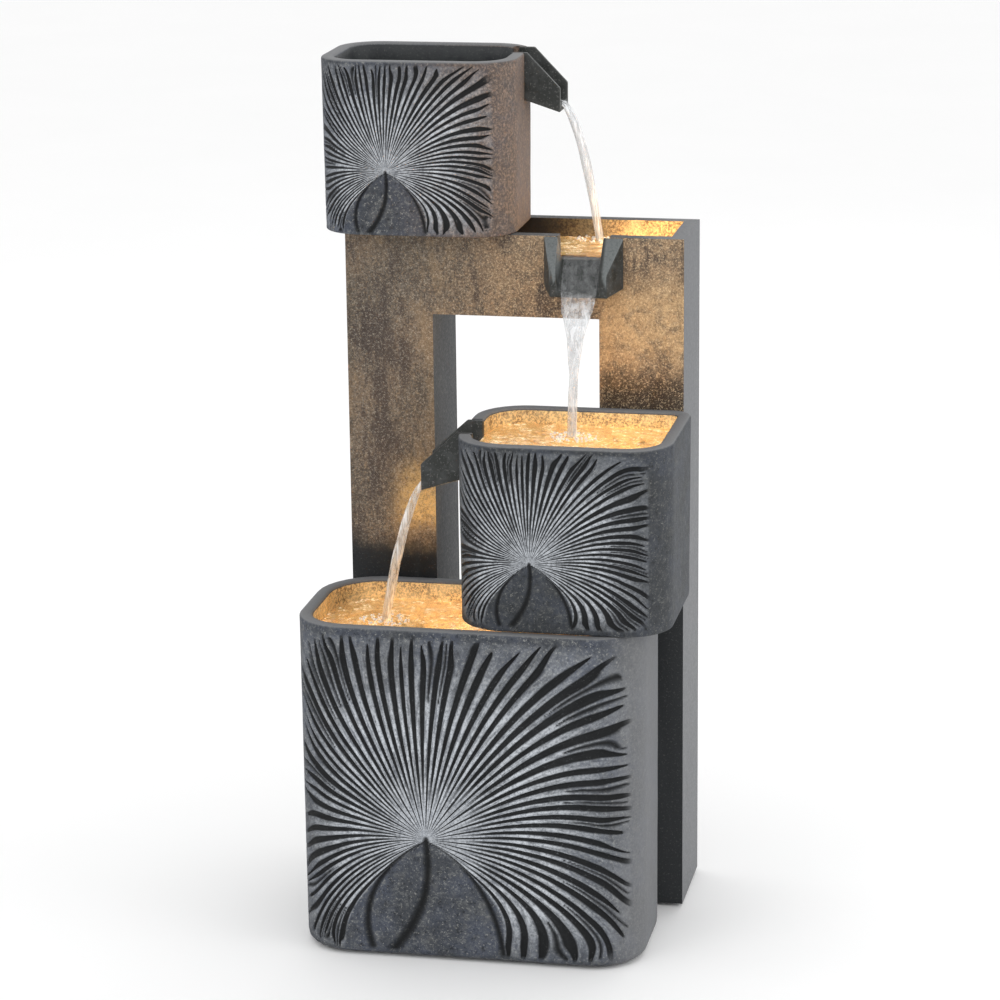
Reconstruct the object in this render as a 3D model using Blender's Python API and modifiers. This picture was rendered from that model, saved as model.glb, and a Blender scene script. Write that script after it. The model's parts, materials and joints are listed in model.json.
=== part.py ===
"""Tiered water fountain: a portal frame with a trough, three leaf tanks, spouts, pump, lights and wiring.

Units are metres, +Z is up and the fountain faces -Y. The origin is the centre of the whole object's
footprint, on the ground.
"""
import math

import bmesh
import bpy
from mathutils import Matrix, Vector

MM = 0.001
GAP = 0.3 * MM

# ---- driving dimensions -------------------------------------------------------------------------
TOTAL_HEIGHT = 830 * MM
PAD_HEIGHT = 3 * MM
PAD_RADIUS = 12 * MM

FRAME_X = (-156 * MM, 169 * MM)
FRAME_Y = (27.3 * MM, 130.3 * MM)
FRAME_TOP = 665.5 * MM
FRAME_WALL = 10 * MM
PORTAL_X = (-72 * MM, 88.5 * MM)
PORTAL_Z = (258 * MM, 587 * MM)
TROUGH_FLOOR = 603 * MM
TROUGH_RIM = 13.4 * MM
REAR_SEAM_Z = 601 * MM
REAR_PANEL_THICKNESS = 4 * MM

TANK_WALL = 13 * MM
TANK_FLOOR = 12 * MM
TANK_FILLET = 6 * MM

LOWER_LO = Vector((-176.5, -145.5, 3.3)) * MM
LOWER_HI = Vector((154, 27, 326)) * MM
MIDDLE_LO = Vector((-23, -136.5, 326.3)) * MM
MIDDLE_HI = Vector((179, 27, 502)) * MM
UPPER_LO = Vector((-179, 5.5, 665.8)) * MM
UPPER_HI = Vector((9.5 * MM, 145.5 * MM, TOTAL_HEIGHT))

# corner radii, anticlockwise from front left
LOWER_RADII = (50 * MM, 50 * MM, 62 * MM, 62 * MM)
MIDDLE_RADII = (48 * MM, 44 * MM, 20 * MM, 48 * MM)
UPPER_RADII = (41 * MM, 41 * MM, 41 * MM, 41 * MM)

# side spouts: how far down the wall they reach, and the thickness of their side plates
SPOUT_ROOT_DEPTH = 45 * MM
SPOUT_PLATE = 5 * MM
UPPER_SPOUT_Y = (78 * MM, 122 * MM)
MIDDLE_SPOUT_Y = (-93 * MM, -38 * MM)

# trough spout and the frame's notch that feeds it; the notch is (x at its foot, x at its top)
CHUTE_TIP_Y = 2 * MM
CHUTE_ROOT_X = (36 * MM, 112 * MM)
CHUTE_TIP_X = (46 * MM, 100 * MM)
CHUTE_ROOT_Z = 617 * MM
CHUTE_LIP_Z = 612 * MM
CHUTE_TIP_TOP = 634 * MM
CHUTE_FLOOR_BACK = 644.5 * MM
NOTCH_FLOOR = 644 * MM
NOTCH_X = ((50 * MM, 93 * MM), (49 * MM, 102 * MM))

PUMP_CENTRE = Vector((-106, -38, 46)) * MM
PUMP_SIZE = Vector((56, 44, 50)) * MM
PUMP_CHAMBER_RADIUS = 15 * MM
PUMP_CHAMBER_DEPTH = 15 * MM
NOZZLE_Y = -50 * MM
STRAINER_DEPTH = 16 * MM

HOSE_RADIUS = 6 * MM
HOSE_WALL = 1.6 * MM
HOSE_X = PUMP_CENTRE.x
RISER_Y = 80 * MM
HOSE_TOP = 640 * MM
HOSE_HOLE_RADIUS = 8.4 * MM
INLET_STEM_RADIUS = 7 * MM
CABLE_RADIUS = 3 * MM
CABLE_HOLE_RADIUS = 5.4 * MM
GROMMET_LENGTH = 27 * MM
PUMP_CABLE_X = -88.5 * MM
WALL_CROSSING_Z = 275 * MM

LIGHT_RADIUS = 17 * MM
LIGHT_STEM_RADIUS = 5 * MM
LOWER_LIGHT = Vector((-40, 14, 225)) * MM
MIDDLE_LIGHT = Vector((119, 14, 430)) * MM
TROUGH_LIGHT = Vector((128 * MM, 79 * MM, TROUGH_FLOOR))
JUNCTION_LO = Vector((0, 37.6, 120)) * MM
JUNCTION_HI = Vector((70, 66, 180)) * MM
GLAND_POINT = Vector((120, 130.6, 40)) * MM

DOOR_X = (-40 * MM, 80 * MM)
DOOR_Z = (40 * MM, 210 * MM)
DOOR_LIP = 4 * MM
DRAIN_POINT = Vector((-176, -60, 36)) * MM
DRAIN_HOLE_RADIUS = 8 * MM

# fixings: panel screws (x, z) in the frame's side walls, and bolts into the middle tank's back
PANEL_SCREWS = [(x, z) for x in (FRAME_X[0] + 5 * MM, FRAME_X[1] - 5 * MM) for z in (40 * MM, 560 * MM)]
SCREW_HOLE_RADIUS = 2.1 * MM
TANK_BOLTS = [Vector((x, 27, 474)) * MM for x in (106, 132)]
BOLT_HOLE_RADIUS = 2.6 * MM

AXIS_X = Vector((1, 0, 0))
AXIS_Y = Vector((0, 1, 0))
AXIS_Z = Vector((0, 0, 1))


# ---- collections and materials ------------------------------------------------------------------
def clear_scene():
    for obj in list(bpy.data.objects):
        bpy.data.objects.remove(obj, do_unlink=True)


def new_collection(name):
    collection = bpy.data.collections.new(name)
    bpy.context.scene.collection.children.link(collection)
    return collection


def material(name, colour, roughness, metallic=0.0):
    found = bpy.data.materials.get(name)
    if found:
        return found
    mat = bpy.data.materials.new(name)
    mat.use_nodes = True
    shader = mat.node_tree.nodes["Principled BSDF"]
    shader.inputs["Base Color"].default_value = (*colour, 1.0)
    shader.inputs["Roughness"].default_value = roughness
    shader.inputs["Metallic"].default_value = metallic
    mat.diffuse_color = (*colour, 1.0)
    return mat


def slate():
    return material("slate_resin", (0.16, 0.18, 0.2), 0.7)


def bronze():
    return material("bronze_resin", (0.22, 0.16, 0.09), 0.65)


def black_plastic():
    return material("black_plastic", (0.03, 0.03, 0.035), 0.45)


def grey_plastic():
    return material("grey_plastic", (0.3, 0.31, 0.32), 0.5)


def rubber():
    return material("black_rubber", (0.02, 0.02, 0.02), 0.85)


def steel():
    return material("stainless_steel", (0.6, 0.6, 0.6), 0.3, 1.0)


def clear_lens():
    return material("light_lens", (0.95, 0.85, 0.6), 0.2)


def vinyl():
    return material("clear_vinyl", (0.6, 0.66, 0.62), 0.3)


# ---- modelling helpers --------------------------------------------------------------------------
def add_object(name, mesh, mat, location=(0, 0, 0), rotation=None):
    obj = bpy.data.objects.new(name, mesh)
    PARTS.objects.link(obj)
    obj.location = location
    if rotation is not None:
        obj.rotation_euler = rotation.to_euler()
    obj.data.materials.append(mat)
    return obj


def mesh_from(bm, name):
    mesh = bpy.data.meshes.new(name)
    bm.to_mesh(mesh)
    bm.free()
    return mesh


def smooth(obj, angle=35):
    obj.data.shade_smooth()
    obj.data.set_sharp_from_angle(angle=math.radians(angle))


def turn_to(axis):
    """The rotation that carries +Z to the axis."""
    return Vector(axis).to_track_quat("Z", "Y").to_matrix() if axis != AXIS_Z else Matrix.Identity(3)


def box(name, lo, hi, mat=None):
    lo, hi = Vector(lo), Vector(hi)
    bm = bmesh.new()
    bmesh.ops.create_cube(bm, size=1.0)
    bmesh.ops.scale(bm, vec=hi - lo, verts=bm.verts)
    return add_object(name, mesh_from(bm, name), mat or slate(), (lo + hi) / 2)


def hexahedron(name, lower, upper, mat=None):
    """A cube whose four lower and four upper corners are moved, both given anticlockwise from -X -Y."""
    bm = bmesh.new()
    bmesh.ops.create_cube(bm, size=2.0)
    order = {(-1, -1): 0, (1, -1): 1, (1, 1): 2, (-1, 1): 3}
    for vert in bm.verts:
        corner = order[(round(vert.co.x), round(vert.co.y))]
        vert.co = Vector(upper[corner] if vert.co.z > 0 else lower[corner])
    return add_object(name, mesh_from(bm, name), mat or slate())


def cylinder(name, centre, axis, radius, depth, mat=None, segments=24):
    bm = bmesh.new()
    bmesh.ops.create_cone(bm, cap_ends=True, segments=segments, radius1=radius, radius2=radius, depth=depth)
    obj = add_object(name, mesh_from(bm, name), mat or slate(), centre, turn_to(axis))
    smooth(obj)
    return obj


def vertical_edge(bm, x, y):
    """The upright edge that stands at (x, y), as a list of one."""
    here = Vector((x, y))
    return [edge for edge in bm.edges if all((vert.co.xy - here).length < 1e-6 for vert in edge.verts)]


def rounded_block(name, lo, hi, radii, draft=0.0, fillet=0.0, mat=None, segments=8):
    """An upright block with rounded corners, drawn in by draft at its foot on all sides but the back.

    radii holds the four corner radii, anticlockwise from front left.
    """
    lo, hi = Vector(lo), Vector(hi)
    centre, half = (lo + hi) / 2, (hi - lo) / 2
    bm = bmesh.new()
    bmesh.ops.create_cube(bm, size=1.0)
    bmesh.ops.scale(bm, vec=hi - lo, verts=bm.verts)
    for radius, (side_x, side_y) in zip(radii, ((-1, -1), (1, -1), (1, 1), (-1, 1))):
        corner = vertical_edge(bm, half.x * side_x, half.y * side_y)
        bmesh.ops.bevel(bm, geom=corner, offset=radius, segments=segments, profile=0.5, affect="EDGES")
    foot = [vert for vert in bm.verts if vert.co.z < 0]
    for vert in foot:
        vert.co.x *= 1 - draft / half.x
        if vert.co.y < 0:
            vert.co.y *= 1 - draft / half.y
    if fillet:
        ring = [edge for edge in bm.edges if all(vert.co.z < 0 for vert in edge.verts)]
        bmesh.ops.bevel(bm, geom=ring, offset=fillet, segments=2, profile=0.5, affect="EDGES")
    obj = add_object(name, mesh_from(bm, name), mat or slate(), centre)
    smooth(obj)
    return obj


def plate(name, outline, lo, hi, plane, mat=None):
    """A flat outline made solid between lo and hi along the plane's normal.

    plane "XZ" reads the outline as (x, z) and "XY" as (x, y).
    """
    curve = bpy.data.curves.new(name, "CURVE")
    curve.dimensions = "2D"
    curve.fill_mode = "BOTH"
    curve.extrude = (hi - lo) / 2
    spline = curve.splines.new("POLY")
    spline.points.add(len(outline) - 1)
    for point, (a, b) in zip(spline.points, outline):
        point.co = (a, b, 0, 1)
    spline.use_cyclic_u = True
    rotation = Matrix.Rotation(math.pi / 2, 3, "X") if plane == "XZ" else Matrix.Identity(3)
    normal = AXIS_Y if plane == "XZ" else AXIS_Z
    return curve_to_mesh(curve, name, mat or slate(), normal * (lo + hi) / 2, rotation)


def curve_to_mesh(curve, name, mat, location=(0, 0, 0), rotation=None):
    guide = bpy.data.objects.new(name + "_curve", curve)
    PARTS.objects.link(guide)
    graph = bpy.context.evaluated_depsgraph_get()
    mesh = bpy.data.meshes.new_from_object(guide.evaluated_get(graph))
    bpy.data.objects.remove(guide, do_unlink=True)
    bm = bmesh.new()
    bm.from_mesh(mesh)
    bmesh.ops.remove_doubles(bm, verts=bm.verts, dist=0.01 * MM)
    bmesh.ops.recalc_face_normals(bm, faces=bm.faces)
    bm.to_mesh(mesh)
    bm.free()
    mesh.materials.clear()
    return add_object(name, mesh, mat, location, rotation)


def turned(name, profile, location, axis, mat, steps=24):
    """A turned piece: (radius, height) pairs down the outer side, closed on the axis or into a ring."""
    bm = bmesh.new()
    verts = [bm.verts.new((radius, 0, height)) for radius, height in profile]
    for a, b in zip(verts, verts[1:]):
        bm.edges.new((a, b))
    if profile[0][0] > 0:
        bm.edges.new((verts[-1], verts[0]))
    obj = add_object(name, mesh_from(bm, name), mat, location, turn_to(axis))
    screw = obj.modifiers.new("turn", "SCREW")
    screw.axis = "Z"
    screw.angle = math.tau
    screw.steps = steps
    screw.render_steps = steps
    screw.use_merge_vertices = True
    screw.merge_threshold = 0.0001 * MM
    screw.use_smooth_shade = True
    return obj


def filleted_path(points, radius, steps=5):
    """The corners of a route of straight runs, each replaced by an arc."""
    points = [Vector(p) for p in points]
    path = [points[0]]
    for before, corner, after in zip(points, points[1:], points[2:]):
        into, out = (before - corner).normalized(), (after - corner).normalized()
        half_angle = into.angle(out) / 2
        reach = min(radius / math.tan(half_angle), 0.49 * (before - corner).length,
                    0.49 * (after - corner).length)
        arc_radius = reach * math.tan(half_angle)
        centre = corner + (into + out).normalized() * arc_radius / math.sin(half_angle)
        start, end = corner + into * reach - centre, corner + out * reach - centre
        sweep = start.angle(end)
        for step in range(steps + 1):
            t = step / steps
            blend = (start * math.sin((1 - t) * sweep) + end * math.sin(t * sweep)) / math.sin(sweep)
            path.append(centre + blend)
    path.append(points[-1])
    return path


def tube(name, points, radius, mat, wall=0.0):
    """A round tube along the points, solid, or hollow with open ends where a wall is given."""
    curve = bpy.data.curves.new(name, "CURVE")
    curve.dimensions = "3D"
    curve.bevel_depth = radius
    curve.bevel_resolution = 2
    curve.use_fill_caps = not wall
    spline = curve.splines.new("POLY")
    spline.points.add(len(points) - 1)
    for point, co in zip(spline.points, points):
        point.co = (*co, 1)
    obj = curve_to_mesh(curve, name, mat)
    smooth(obj, 50)
    if wall:
        shell = obj.modifiers.new("wall", "SOLIDIFY")
        shell.thickness = wall
        shell.offset = -1
    return obj


def boolean(target, other, operation):
    modifier = target.modifiers.new(other.name, "BOOLEAN")
    modifier.operation = operation
    modifier.solver = "EXACT"
    modifier.object = other
    PARTS.objects.unlink(other)
    CUTTERS.objects.link(other)
    other.hide_render = True
    other.display_type = "WIRE"


def cut(target, *cutters):
    for cutter in cutters:
        boolean(target, cutter, "DIFFERENCE")


def weld(target, *others):
    for other in others:
        boolean(target, other, "UNION")


# ---- tanks and spouts ---------------------------------------------------------------------------
def tank(name, lo, hi, radii, draft):
    body = rounded_block(name, lo, hi, radii, draft, TANK_FILLET)
    wall = Vector((TANK_WALL, TANK_WALL, 0))
    hollow_lo = Vector(lo) + wall + Vector((0, 0, TANK_FLOOR))
    hollow_hi = Vector(hi) - wall + Vector((0, 0, 20 * MM))
    inner_radii = [max(radius - TANK_WALL, 8 * MM) for radius in radii]
    cut(body, rounded_block(name + "_hollow", hollow_lo, hollow_hi, inner_radii, draft))
    return body


def side_spout(name, wall_x, side, y_range, top, drop, reach, lip):
    """A channel that passes through a tank's side wall and runs out to the side (+1 or -1 along X)."""
    root_z = top - SPOUT_ROOT_DEPTH
    tip_z = top - drop
    inner, tip = wall_x - side * TANK_WALL, wall_x + side * reach
    outline = [(inner, root_z), (wall_x, root_z), (tip, tip_z - lip), (tip, tip_z),
               (wall_x + side * 2 * MM, top), (inner, top)]
    body = plate(name, outline, *y_range, "XZ")
    over = 10 * MM
    channel = [(inner - side * over, root_z + 7 * MM), (wall_x, root_z + 7 * MM),
               (tip + side * over, tip_z - lip + 4 * MM), (tip + side * over, top + over),
               (inner - side * over, top + over)]
    cut(body, plate(name + "_channel", channel, y_range[0] + SPOUT_PLATE, y_range[1] - SPOUT_PLATE, "XZ"))
    return body


def side_notch(name, wall_x, side, y_range, top):
    """The notch in the tank wall that the side spout sits in, a gap larger all round."""
    inner, outer = sorted((wall_x - side * (TANK_WALL + 8 * MM), wall_x + side * 8 * MM))
    return box(name, (inner, y_range[0] - GAP, top - SPOUT_ROOT_DEPTH - GAP),
               (outer, y_range[1] + GAP, top + 10 * MM))


def make_tanks():
    lower = tank("lower_tank", LOWER_LO, LOWER_HI, LOWER_RADII, 0.6 * MM)
    middle = tank("middle_tank", MIDDLE_LO, MIDDLE_HI, MIDDLE_RADII, 1.2 * MM)
    upper = tank("upper_tank", UPPER_LO, UPPER_HI, UPPER_RADII, 1.3 * MM)
    hole = dict(axis=AXIS_Y, depth=40 * MM)
    cut(lower,
        cylinder("lower_tank_hose_hole", (HOSE_X, 20 * MM, WALL_CROSSING_Z), radius=HOSE_HOLE_RADIUS, **hole),
        cylinder("lower_tank_cable_hole", (PUMP_CABLE_X, 20 * MM, WALL_CROSSING_Z),
                 radius=CABLE_HOLE_RADIUS, **hole),
        cylinder("lower_tank_light_hole", (LOWER_LIGHT.x, 20 * MM, LOWER_LIGHT.z),
                 radius=LIGHT_STEM_RADIUS + GAP, **hole),
        cylinder("lower_tank_drain_hole", DRAIN_POINT + AXIS_X * 6 * MM, AXIS_X, DRAIN_HOLE_RADIUS, 40 * MM))
    cut(middle, cylinder("middle_tank_light_hole", (MIDDLE_LIGHT.x, 20 * MM, MIDDLE_LIGHT.z),
                         radius=LIGHT_STEM_RADIUS + GAP, **hole),
        side_notch("middle_tank_notch", MIDDLE_LO.x, -1, MIDDLE_SPOUT_Y, MIDDLE_HI.z))
    cut(upper, cylinder("upper_tank_inlet_hole", (HOSE_X, RISER_Y, UPPER_LO.z), AXIS_Z,
                        INLET_STEM_RADIUS + GAP, 60 * MM),
        side_notch("upper_tank_notch", UPPER_HI.x, 1, UPPER_SPOUT_Y, UPPER_HI.z))
    for index, point in enumerate(TANK_BOLTS, 1):
        cut(middle, cylinder(f"middle_tank_bolt_hole_{index}", point, AXIS_Y, BOLT_HOLE_RADIUS, 26 * MM,
                             segments=12))


def make_spouts():
    side_spout("upper_spout", UPPER_HI.x, 1, UPPER_SPOUT_Y, UPPER_HI.z, 33 * MM, 33.5 * MM, 23 * MM)
    side_spout("middle_spout", MIDDLE_LO.x, -1, MIDDLE_SPOUT_Y, MIDDLE_HI.z, 31 * MM, 36 * MM, 25 * MM)
    make_trough_spout()


def make_trough_spout():
    """The tapering chute on the frame's front: a wedge with a tapering channel cut down its middle."""
    back, front = FRAME_Y[0] - GAP, CHUTE_TIP_Y
    low_back, low_front = CHUTE_ROOT_Z, CHUTE_LIP_Z
    top_back, top_front = FRAME_TOP, CHUTE_TIP_TOP
    (rx0, rx1), (tx0, tx1) = CHUTE_ROOT_X, CHUTE_TIP_X
    body = hexahedron(
        "trough_spout",
        [(tx0, front, low_front), (tx1, front, low_front), (rx1, back, low_back), (rx0, back, low_back)],
        [(tx0, front, top_front), (tx1, front, top_front), (rx1, back, top_back), (rx0, back, top_back)])
    over = 10 * MM
    inset_root, inset_tip = 13 * MM, 8 * MM
    floor_back, floor_front = CHUTE_FLOOR_BACK, low_front + 5 * MM
    above = FRAME_TOP + 35 * MM
    slope = (floor_back - floor_front) / (back - front)
    far, near = back + over, front - over
    floor_far, floor_near = floor_back + slope * over, floor_front - slope * over
    cut(body, hexahedron(
        "trough_spout_channel",
        [(tx0 + inset_tip, near, floor_near), (tx1 - inset_tip, near, floor_near),
         (rx1 - inset_root - 6 * MM, far, floor_far), (rx0 + inset_root + 4 * MM, far, floor_far)],
        [(tx0 + inset_tip, near, above), (tx1 - inset_tip, near, above),
         (rx1 - inset_root + 4 * MM, far, above), (rx0 + inset_root - 4 * MM, far, above)]))


# ---- portal frame and its back ------------------------------------------------------------------
def notch_ring(x_range, z):
    """The four corners of the spout notch at one height, through the trough's front wall."""
    near, far = FRAME_Y[0] - 27.3 * MM, FRAME_Y[0] + 22.7 * MM
    return [(x_range[0], near, z), (x_range[1], near, z), (x_range[1], far, z), (x_range[0], far, z)]


def make_frame():
    body = box("portal_frame", (FRAME_X[0], FRAME_Y[0], PAD_HEIGHT + GAP),
               (FRAME_X[1], FRAME_Y[1], FRAME_TOP), bronze())
    beyond = 20 * MM
    front, back = FRAME_Y[0] + FRAME_WALL, FRAME_Y[1] - TROUGH_RIM
    left = (FRAME_X[0] + FRAME_WALL, PORTAL_X[0] - FRAME_WALL)
    right = (PORTAL_X[1] + FRAME_WALL, FRAME_X[1] - FRAME_WALL)
    foot = PAD_HEIGHT + GAP + FRAME_WALL
    deck = FRAME_TOP - FRAME_WALL
    under_trough = TROUGH_FLOOR - FRAME_WALL
    sill = PORTAL_Z[0] - FRAME_WALL
    cut(body,
        box("frame_portal", (PORTAL_X[0], FRAME_Y[0] - beyond, PORTAL_Z[0]),
            (PORTAL_X[1], FRAME_Y[1] + beyond, PORTAL_Z[1])),
        box("frame_left_hollow", (left[0], front, foot), (left[1], back, deck)),
        box("frame_left_back", (left[0], back - 5 * MM, foot), (left[1], FRAME_Y[1] + beyond, under_trough)),
        box("frame_right_hollow", (right[0], front, foot), (right[1], FRAME_Y[1] + beyond, under_trough)),
        box("frame_lower_hollow", (left[0], front, foot), (right[1], FRAME_Y[1] + beyond, sill)),
        box("frame_trough", (PORTAL_X[0], FRAME_Y[0] + TROUGH_RIM, TROUGH_FLOOR),
            (FRAME_X[1] - TROUGH_RIM, back, FRAME_TOP + beyond)),
        box("frame_back_rebate", (FRAME_X[0] - beyond, FRAME_Y[1] - REAR_PANEL_THICKNESS - GAP,
                                  -beyond), (FRAME_X[1] + beyond, FRAME_Y[1] + beyond, REAR_SEAM_Z)),
        hexahedron("frame_spout_notch", notch_ring(NOTCH_X[0], NOTCH_FLOOR),
                   notch_ring(NOTCH_X[1], FRAME_TOP + 14.5 * MM)))
    hole = dict(axis=AXIS_Y, depth=30 * MM)
    y = FRAME_Y[0] + FRAME_WALL / 2
    cut(body,
        cylinder("frame_hose_hole", (HOSE_X, y, WALL_CROSSING_Z), radius=HOSE_HOLE_RADIUS, **hole),
        cylinder("frame_cable_hole", (PUMP_CABLE_X, y, WALL_CROSSING_Z), radius=CABLE_HOLE_RADIUS, **hole),
        cylinder("frame_lower_light_hole", (LOWER_LIGHT.x, y, LOWER_LIGHT.z),
                 radius=LIGHT_STEM_RADIUS + GAP, **hole),
        cylinder("frame_middle_light_hole", (MIDDLE_LIGHT.x, y, MIDDLE_LIGHT.z),
                 radius=LIGHT_STEM_RADIUS + GAP, **hole),
        cylinder("frame_trough_light_hole", TROUGH_LIGHT, AXIS_Z, LIGHT_STEM_RADIUS + GAP, 40 * MM),
        cylinder("frame_inlet_hole", (HOSE_X, RISER_Y, deck), AXIS_Z, INLET_STEM_RADIUS + GAP, 40 * MM))
    for index, point in enumerate(TANK_BOLTS, 1):
        cut(body, cylinder(f"frame_bolt_hole_{index}", (point.x, y, point.z), AXIS_Y, BOLT_HOLE_RADIUS, 30 * MM,
                           segments=12))
    for index, (x, z) in enumerate(PANEL_SCREWS, 1):
        cut(body, cylinder(f"frame_screw_hole_{index}", (x, FRAME_Y[1] - 12 * MM, z), AXIS_Y, SCREW_HOLE_RADIUS,
                           28 * MM, segments=12))


def make_rear_panel():
    back = FRAME_Y[1]
    front = back - REAR_PANEL_THICKNESS
    panel = box("rear_panel", (FRAME_X[0], front, PAD_HEIGHT + GAP), (FRAME_X[1], back, REAR_SEAM_Z - GAP),
                bronze())
    cut(panel,
        box("rear_panel_portal", (PORTAL_X[0], front - 10 * MM, PORTAL_Z[0]),
            (PORTAL_X[1], back + 10 * MM, PORTAL_Z[1])),
        box("rear_panel_door_hole", (DOOR_X[0] + DOOR_LIP, front - 10 * MM, DOOR_Z[0] + DOOR_LIP),
            (DOOR_X[1] - DOOR_LIP, back + 10 * MM, DOOR_Z[1] - DOOR_LIP)),
        box("rear_panel_door_rebate", (DOOR_X[0], back - 2 * MM, DOOR_Z[0]),
            (DOOR_X[1], back + 10 * MM, DOOR_Z[1])),
        cylinder("rear_panel_gland_hole", GLAND_POINT, AXIS_Y, 8.3 * MM, 40 * MM))
    for index, (x, z) in enumerate(PANEL_SCREWS, 1):
        cut(panel, cylinder(f"rear_panel_screw_hole_{index}", (x, back, z), AXIS_Y, SCREW_HOLE_RADIUS, 20 * MM,
                            segments=12))
        turned(f"rear_panel_screw_{index}",
               [(0, 2.4 * MM), (2 * MM, 2.2 * MM), (3.6 * MM, 0.9 * MM), (3.8 * MM, 0.3 * MM),
                (1.8 * MM, 0.3 * MM), (1.8 * MM, -14 * MM), (0, -16 * MM)],
               (x, back, z), AXIS_Y, steel(), 12)


def make_access_door():
    """The push-in door: a cover plate in the rebate, with a plug frame behind it and a pull lip."""
    back = FRAME_Y[1]
    clear = 0.5 * MM
    door = box("access_door", (DOOR_X[0] + clear, back - 1.7 * MM, DOOR_Z[0] + clear),
               (DOOR_X[1] - clear, back + 0.8 * MM, DOOR_Z[1] - clear), grey_plastic())
    inset = DOOR_LIP + clear
    plug = box("access_door_plug", (DOOR_X[0] + inset, back - 9 * MM, DOOR_Z[0] + inset),
               (DOOR_X[1] - inset, back - 1 * MM, DOOR_Z[1] - inset))
    plug_hollow = box("access_door_plug_hollow",
                      (DOOR_X[0] + inset + 3 * MM, back - 20 * MM, DOOR_Z[0] + inset + 3 * MM),
                      (DOOR_X[1] - inset - 3 * MM, back - 1.2 * MM, DOOR_Z[1] - inset - 3 * MM))
    middle = (DOOR_X[0] + DOOR_X[1]) / 2
    pull = box("access_door_pull", (middle - 16 * MM, back, DOOR_Z[1] - 26 * MM),
               (middle + 16 * MM, back + 7 * MM, DOOR_Z[1] - 22 * MM))
    weld(door, plug)
    cut(door, plug_hollow)
    weld(door, pull)


def make_pads():
    inset = 20 * MM
    frame_corners = [(x, y) for x in (FRAME_X[0] + inset, FRAME_X[1] - 14 * MM)
                     for y in (FRAME_Y[0] + inset, FRAME_Y[1] - inset)]
    tank_corners = [(x, y) for x in (LOWER_LO.x + 40 * MM, LOWER_HI.x - 40 * MM)
                    for y in (LOWER_LO.y + 36 * MM, LOWER_HI.y - 40 * MM)]
    for prefix, corners in (("frame_pad", frame_corners), ("tank_pad", tank_corners)):
        for index, (x, y) in enumerate(corners, 1):
            cylinder(f"{prefix}_{index}", (x, y, PAD_HEIGHT / 2), AXIS_Z, PAD_RADIUS, PAD_HEIGHT, rubber(), 20)


# ---- fixings between the pieces -----------------------------------------------------------------
def make_tank_bolts():
    """Hex bolts from the frame's hollow into the middle tank's back wall."""
    head_y = FRAME_Y[0] + FRAME_WALL + GAP
    for index, point in enumerate(TANK_BOLTS, 1):
        bolt = cylinder(f"tank_bolt_{index}", (point.x, head_y + 2 * MM, point.z), AXIS_Y, 4.5 * MM, 4 * MM,
                        steel(), 6)
        weld(bolt, cylinder(f"tank_bolt_shank_{index}", (point.x, head_y - 8.5 * MM, point.z), AXIS_Y,
                            2.3 * MM, 22 * MM, segments=12))


# ---- pump ---------------------------------------------------------------------------------------
def make_pump():
    lo, hi = PUMP_CENTRE - PUMP_SIZE / 2, PUMP_CENTRE + PUMP_SIZE / 2
    face = lo.y
    body = rounded_block("pump_body", lo, hi, [6 * MM] * 4, mat=black_plastic(), segments=3)
    nozzle_top = (PUMP_CENTRE.x, NOZZLE_Y, hi.z)
    chamber_y = face + PUMP_CHAMBER_DEPTH / 2
    cut(body,
        cylinder("pump_chamber", (PUMP_CENTRE.x, chamber_y - 5 * MM, PUMP_CENTRE.z), AXIS_Y,
                 PUMP_CHAMBER_RADIUS, PUMP_CHAMBER_DEPTH + 10 * MM),
        cylinder("pump_outlet_bore", (PUMP_CENTRE.x, NOZZLE_Y, hi.z - 8 * MM), AXIS_Z, 4 * MM, 24 * MM),
        cylinder("pump_nozzle_socket", nozzle_top, AXIS_Z, 6.3 * MM, 12 * MM),
        cylinder("pump_dial_socket", (lo.x, PUMP_CENTRE.y + 8 * MM, PUMP_CENTRE.z), AXIS_X,
                 3.3 * MM, 12 * MM, segments=16),
        cylinder("pump_shaft_socket", (PUMP_CENTRE.x, face + 15 * MM, PUMP_CENTRE.z), AXIS_Y,
                 1.8 * MM, 12 * MM, segments=12))
    turned("pump_outlet_nozzle",
           [(3.6 * MM, 22 * MM), (3.8 * MM, 21 * MM), (3.3 * MM, 16 * MM), (3.8 * MM, 15 * MM),
            (3.3 * MM, 9 * MM), (7.5 * MM, 8 * MM), (7.5 * MM, 0.3 * MM), (6 * MM, 0.3 * MM),
            (6 * MM, -5.5 * MM), (2.4 * MM, -5.5 * MM), (2.4 * MM, 22 * MM)],
           nozzle_top, AXIS_Z, black_plastic(), 16)
    cylinder("pump_shaft", (PUMP_CENTRE.x, face + 10 * MM, PUMP_CENTRE.z), AXIS_Y, 1.5 * MM, 20 * MM,
             steel(), 12)
    make_impeller(face)
    make_strainer_cover(lo, hi, face)
    make_flow_dial(lo)
    for index, (x, y) in enumerate([(x, y) for x in (lo.x + 12 * MM, hi.x - 12 * MM)
                                    for y in (lo.y + 11 * MM, hi.y - 11 * MM)], 1):
        top = lo.z - GAP
        floor = LOWER_LO.z + TANK_FLOOR + GAP
        turned(f"pump_foot_{index}",
               [(0, 0), (3.5 * MM, 0), (3.5 * MM, floor - top + 3 * MM), (8.5 * MM, floor - top),
                (0, floor - top)],
               (x, y, top), AXIS_Z, rubber(), 16)


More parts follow.
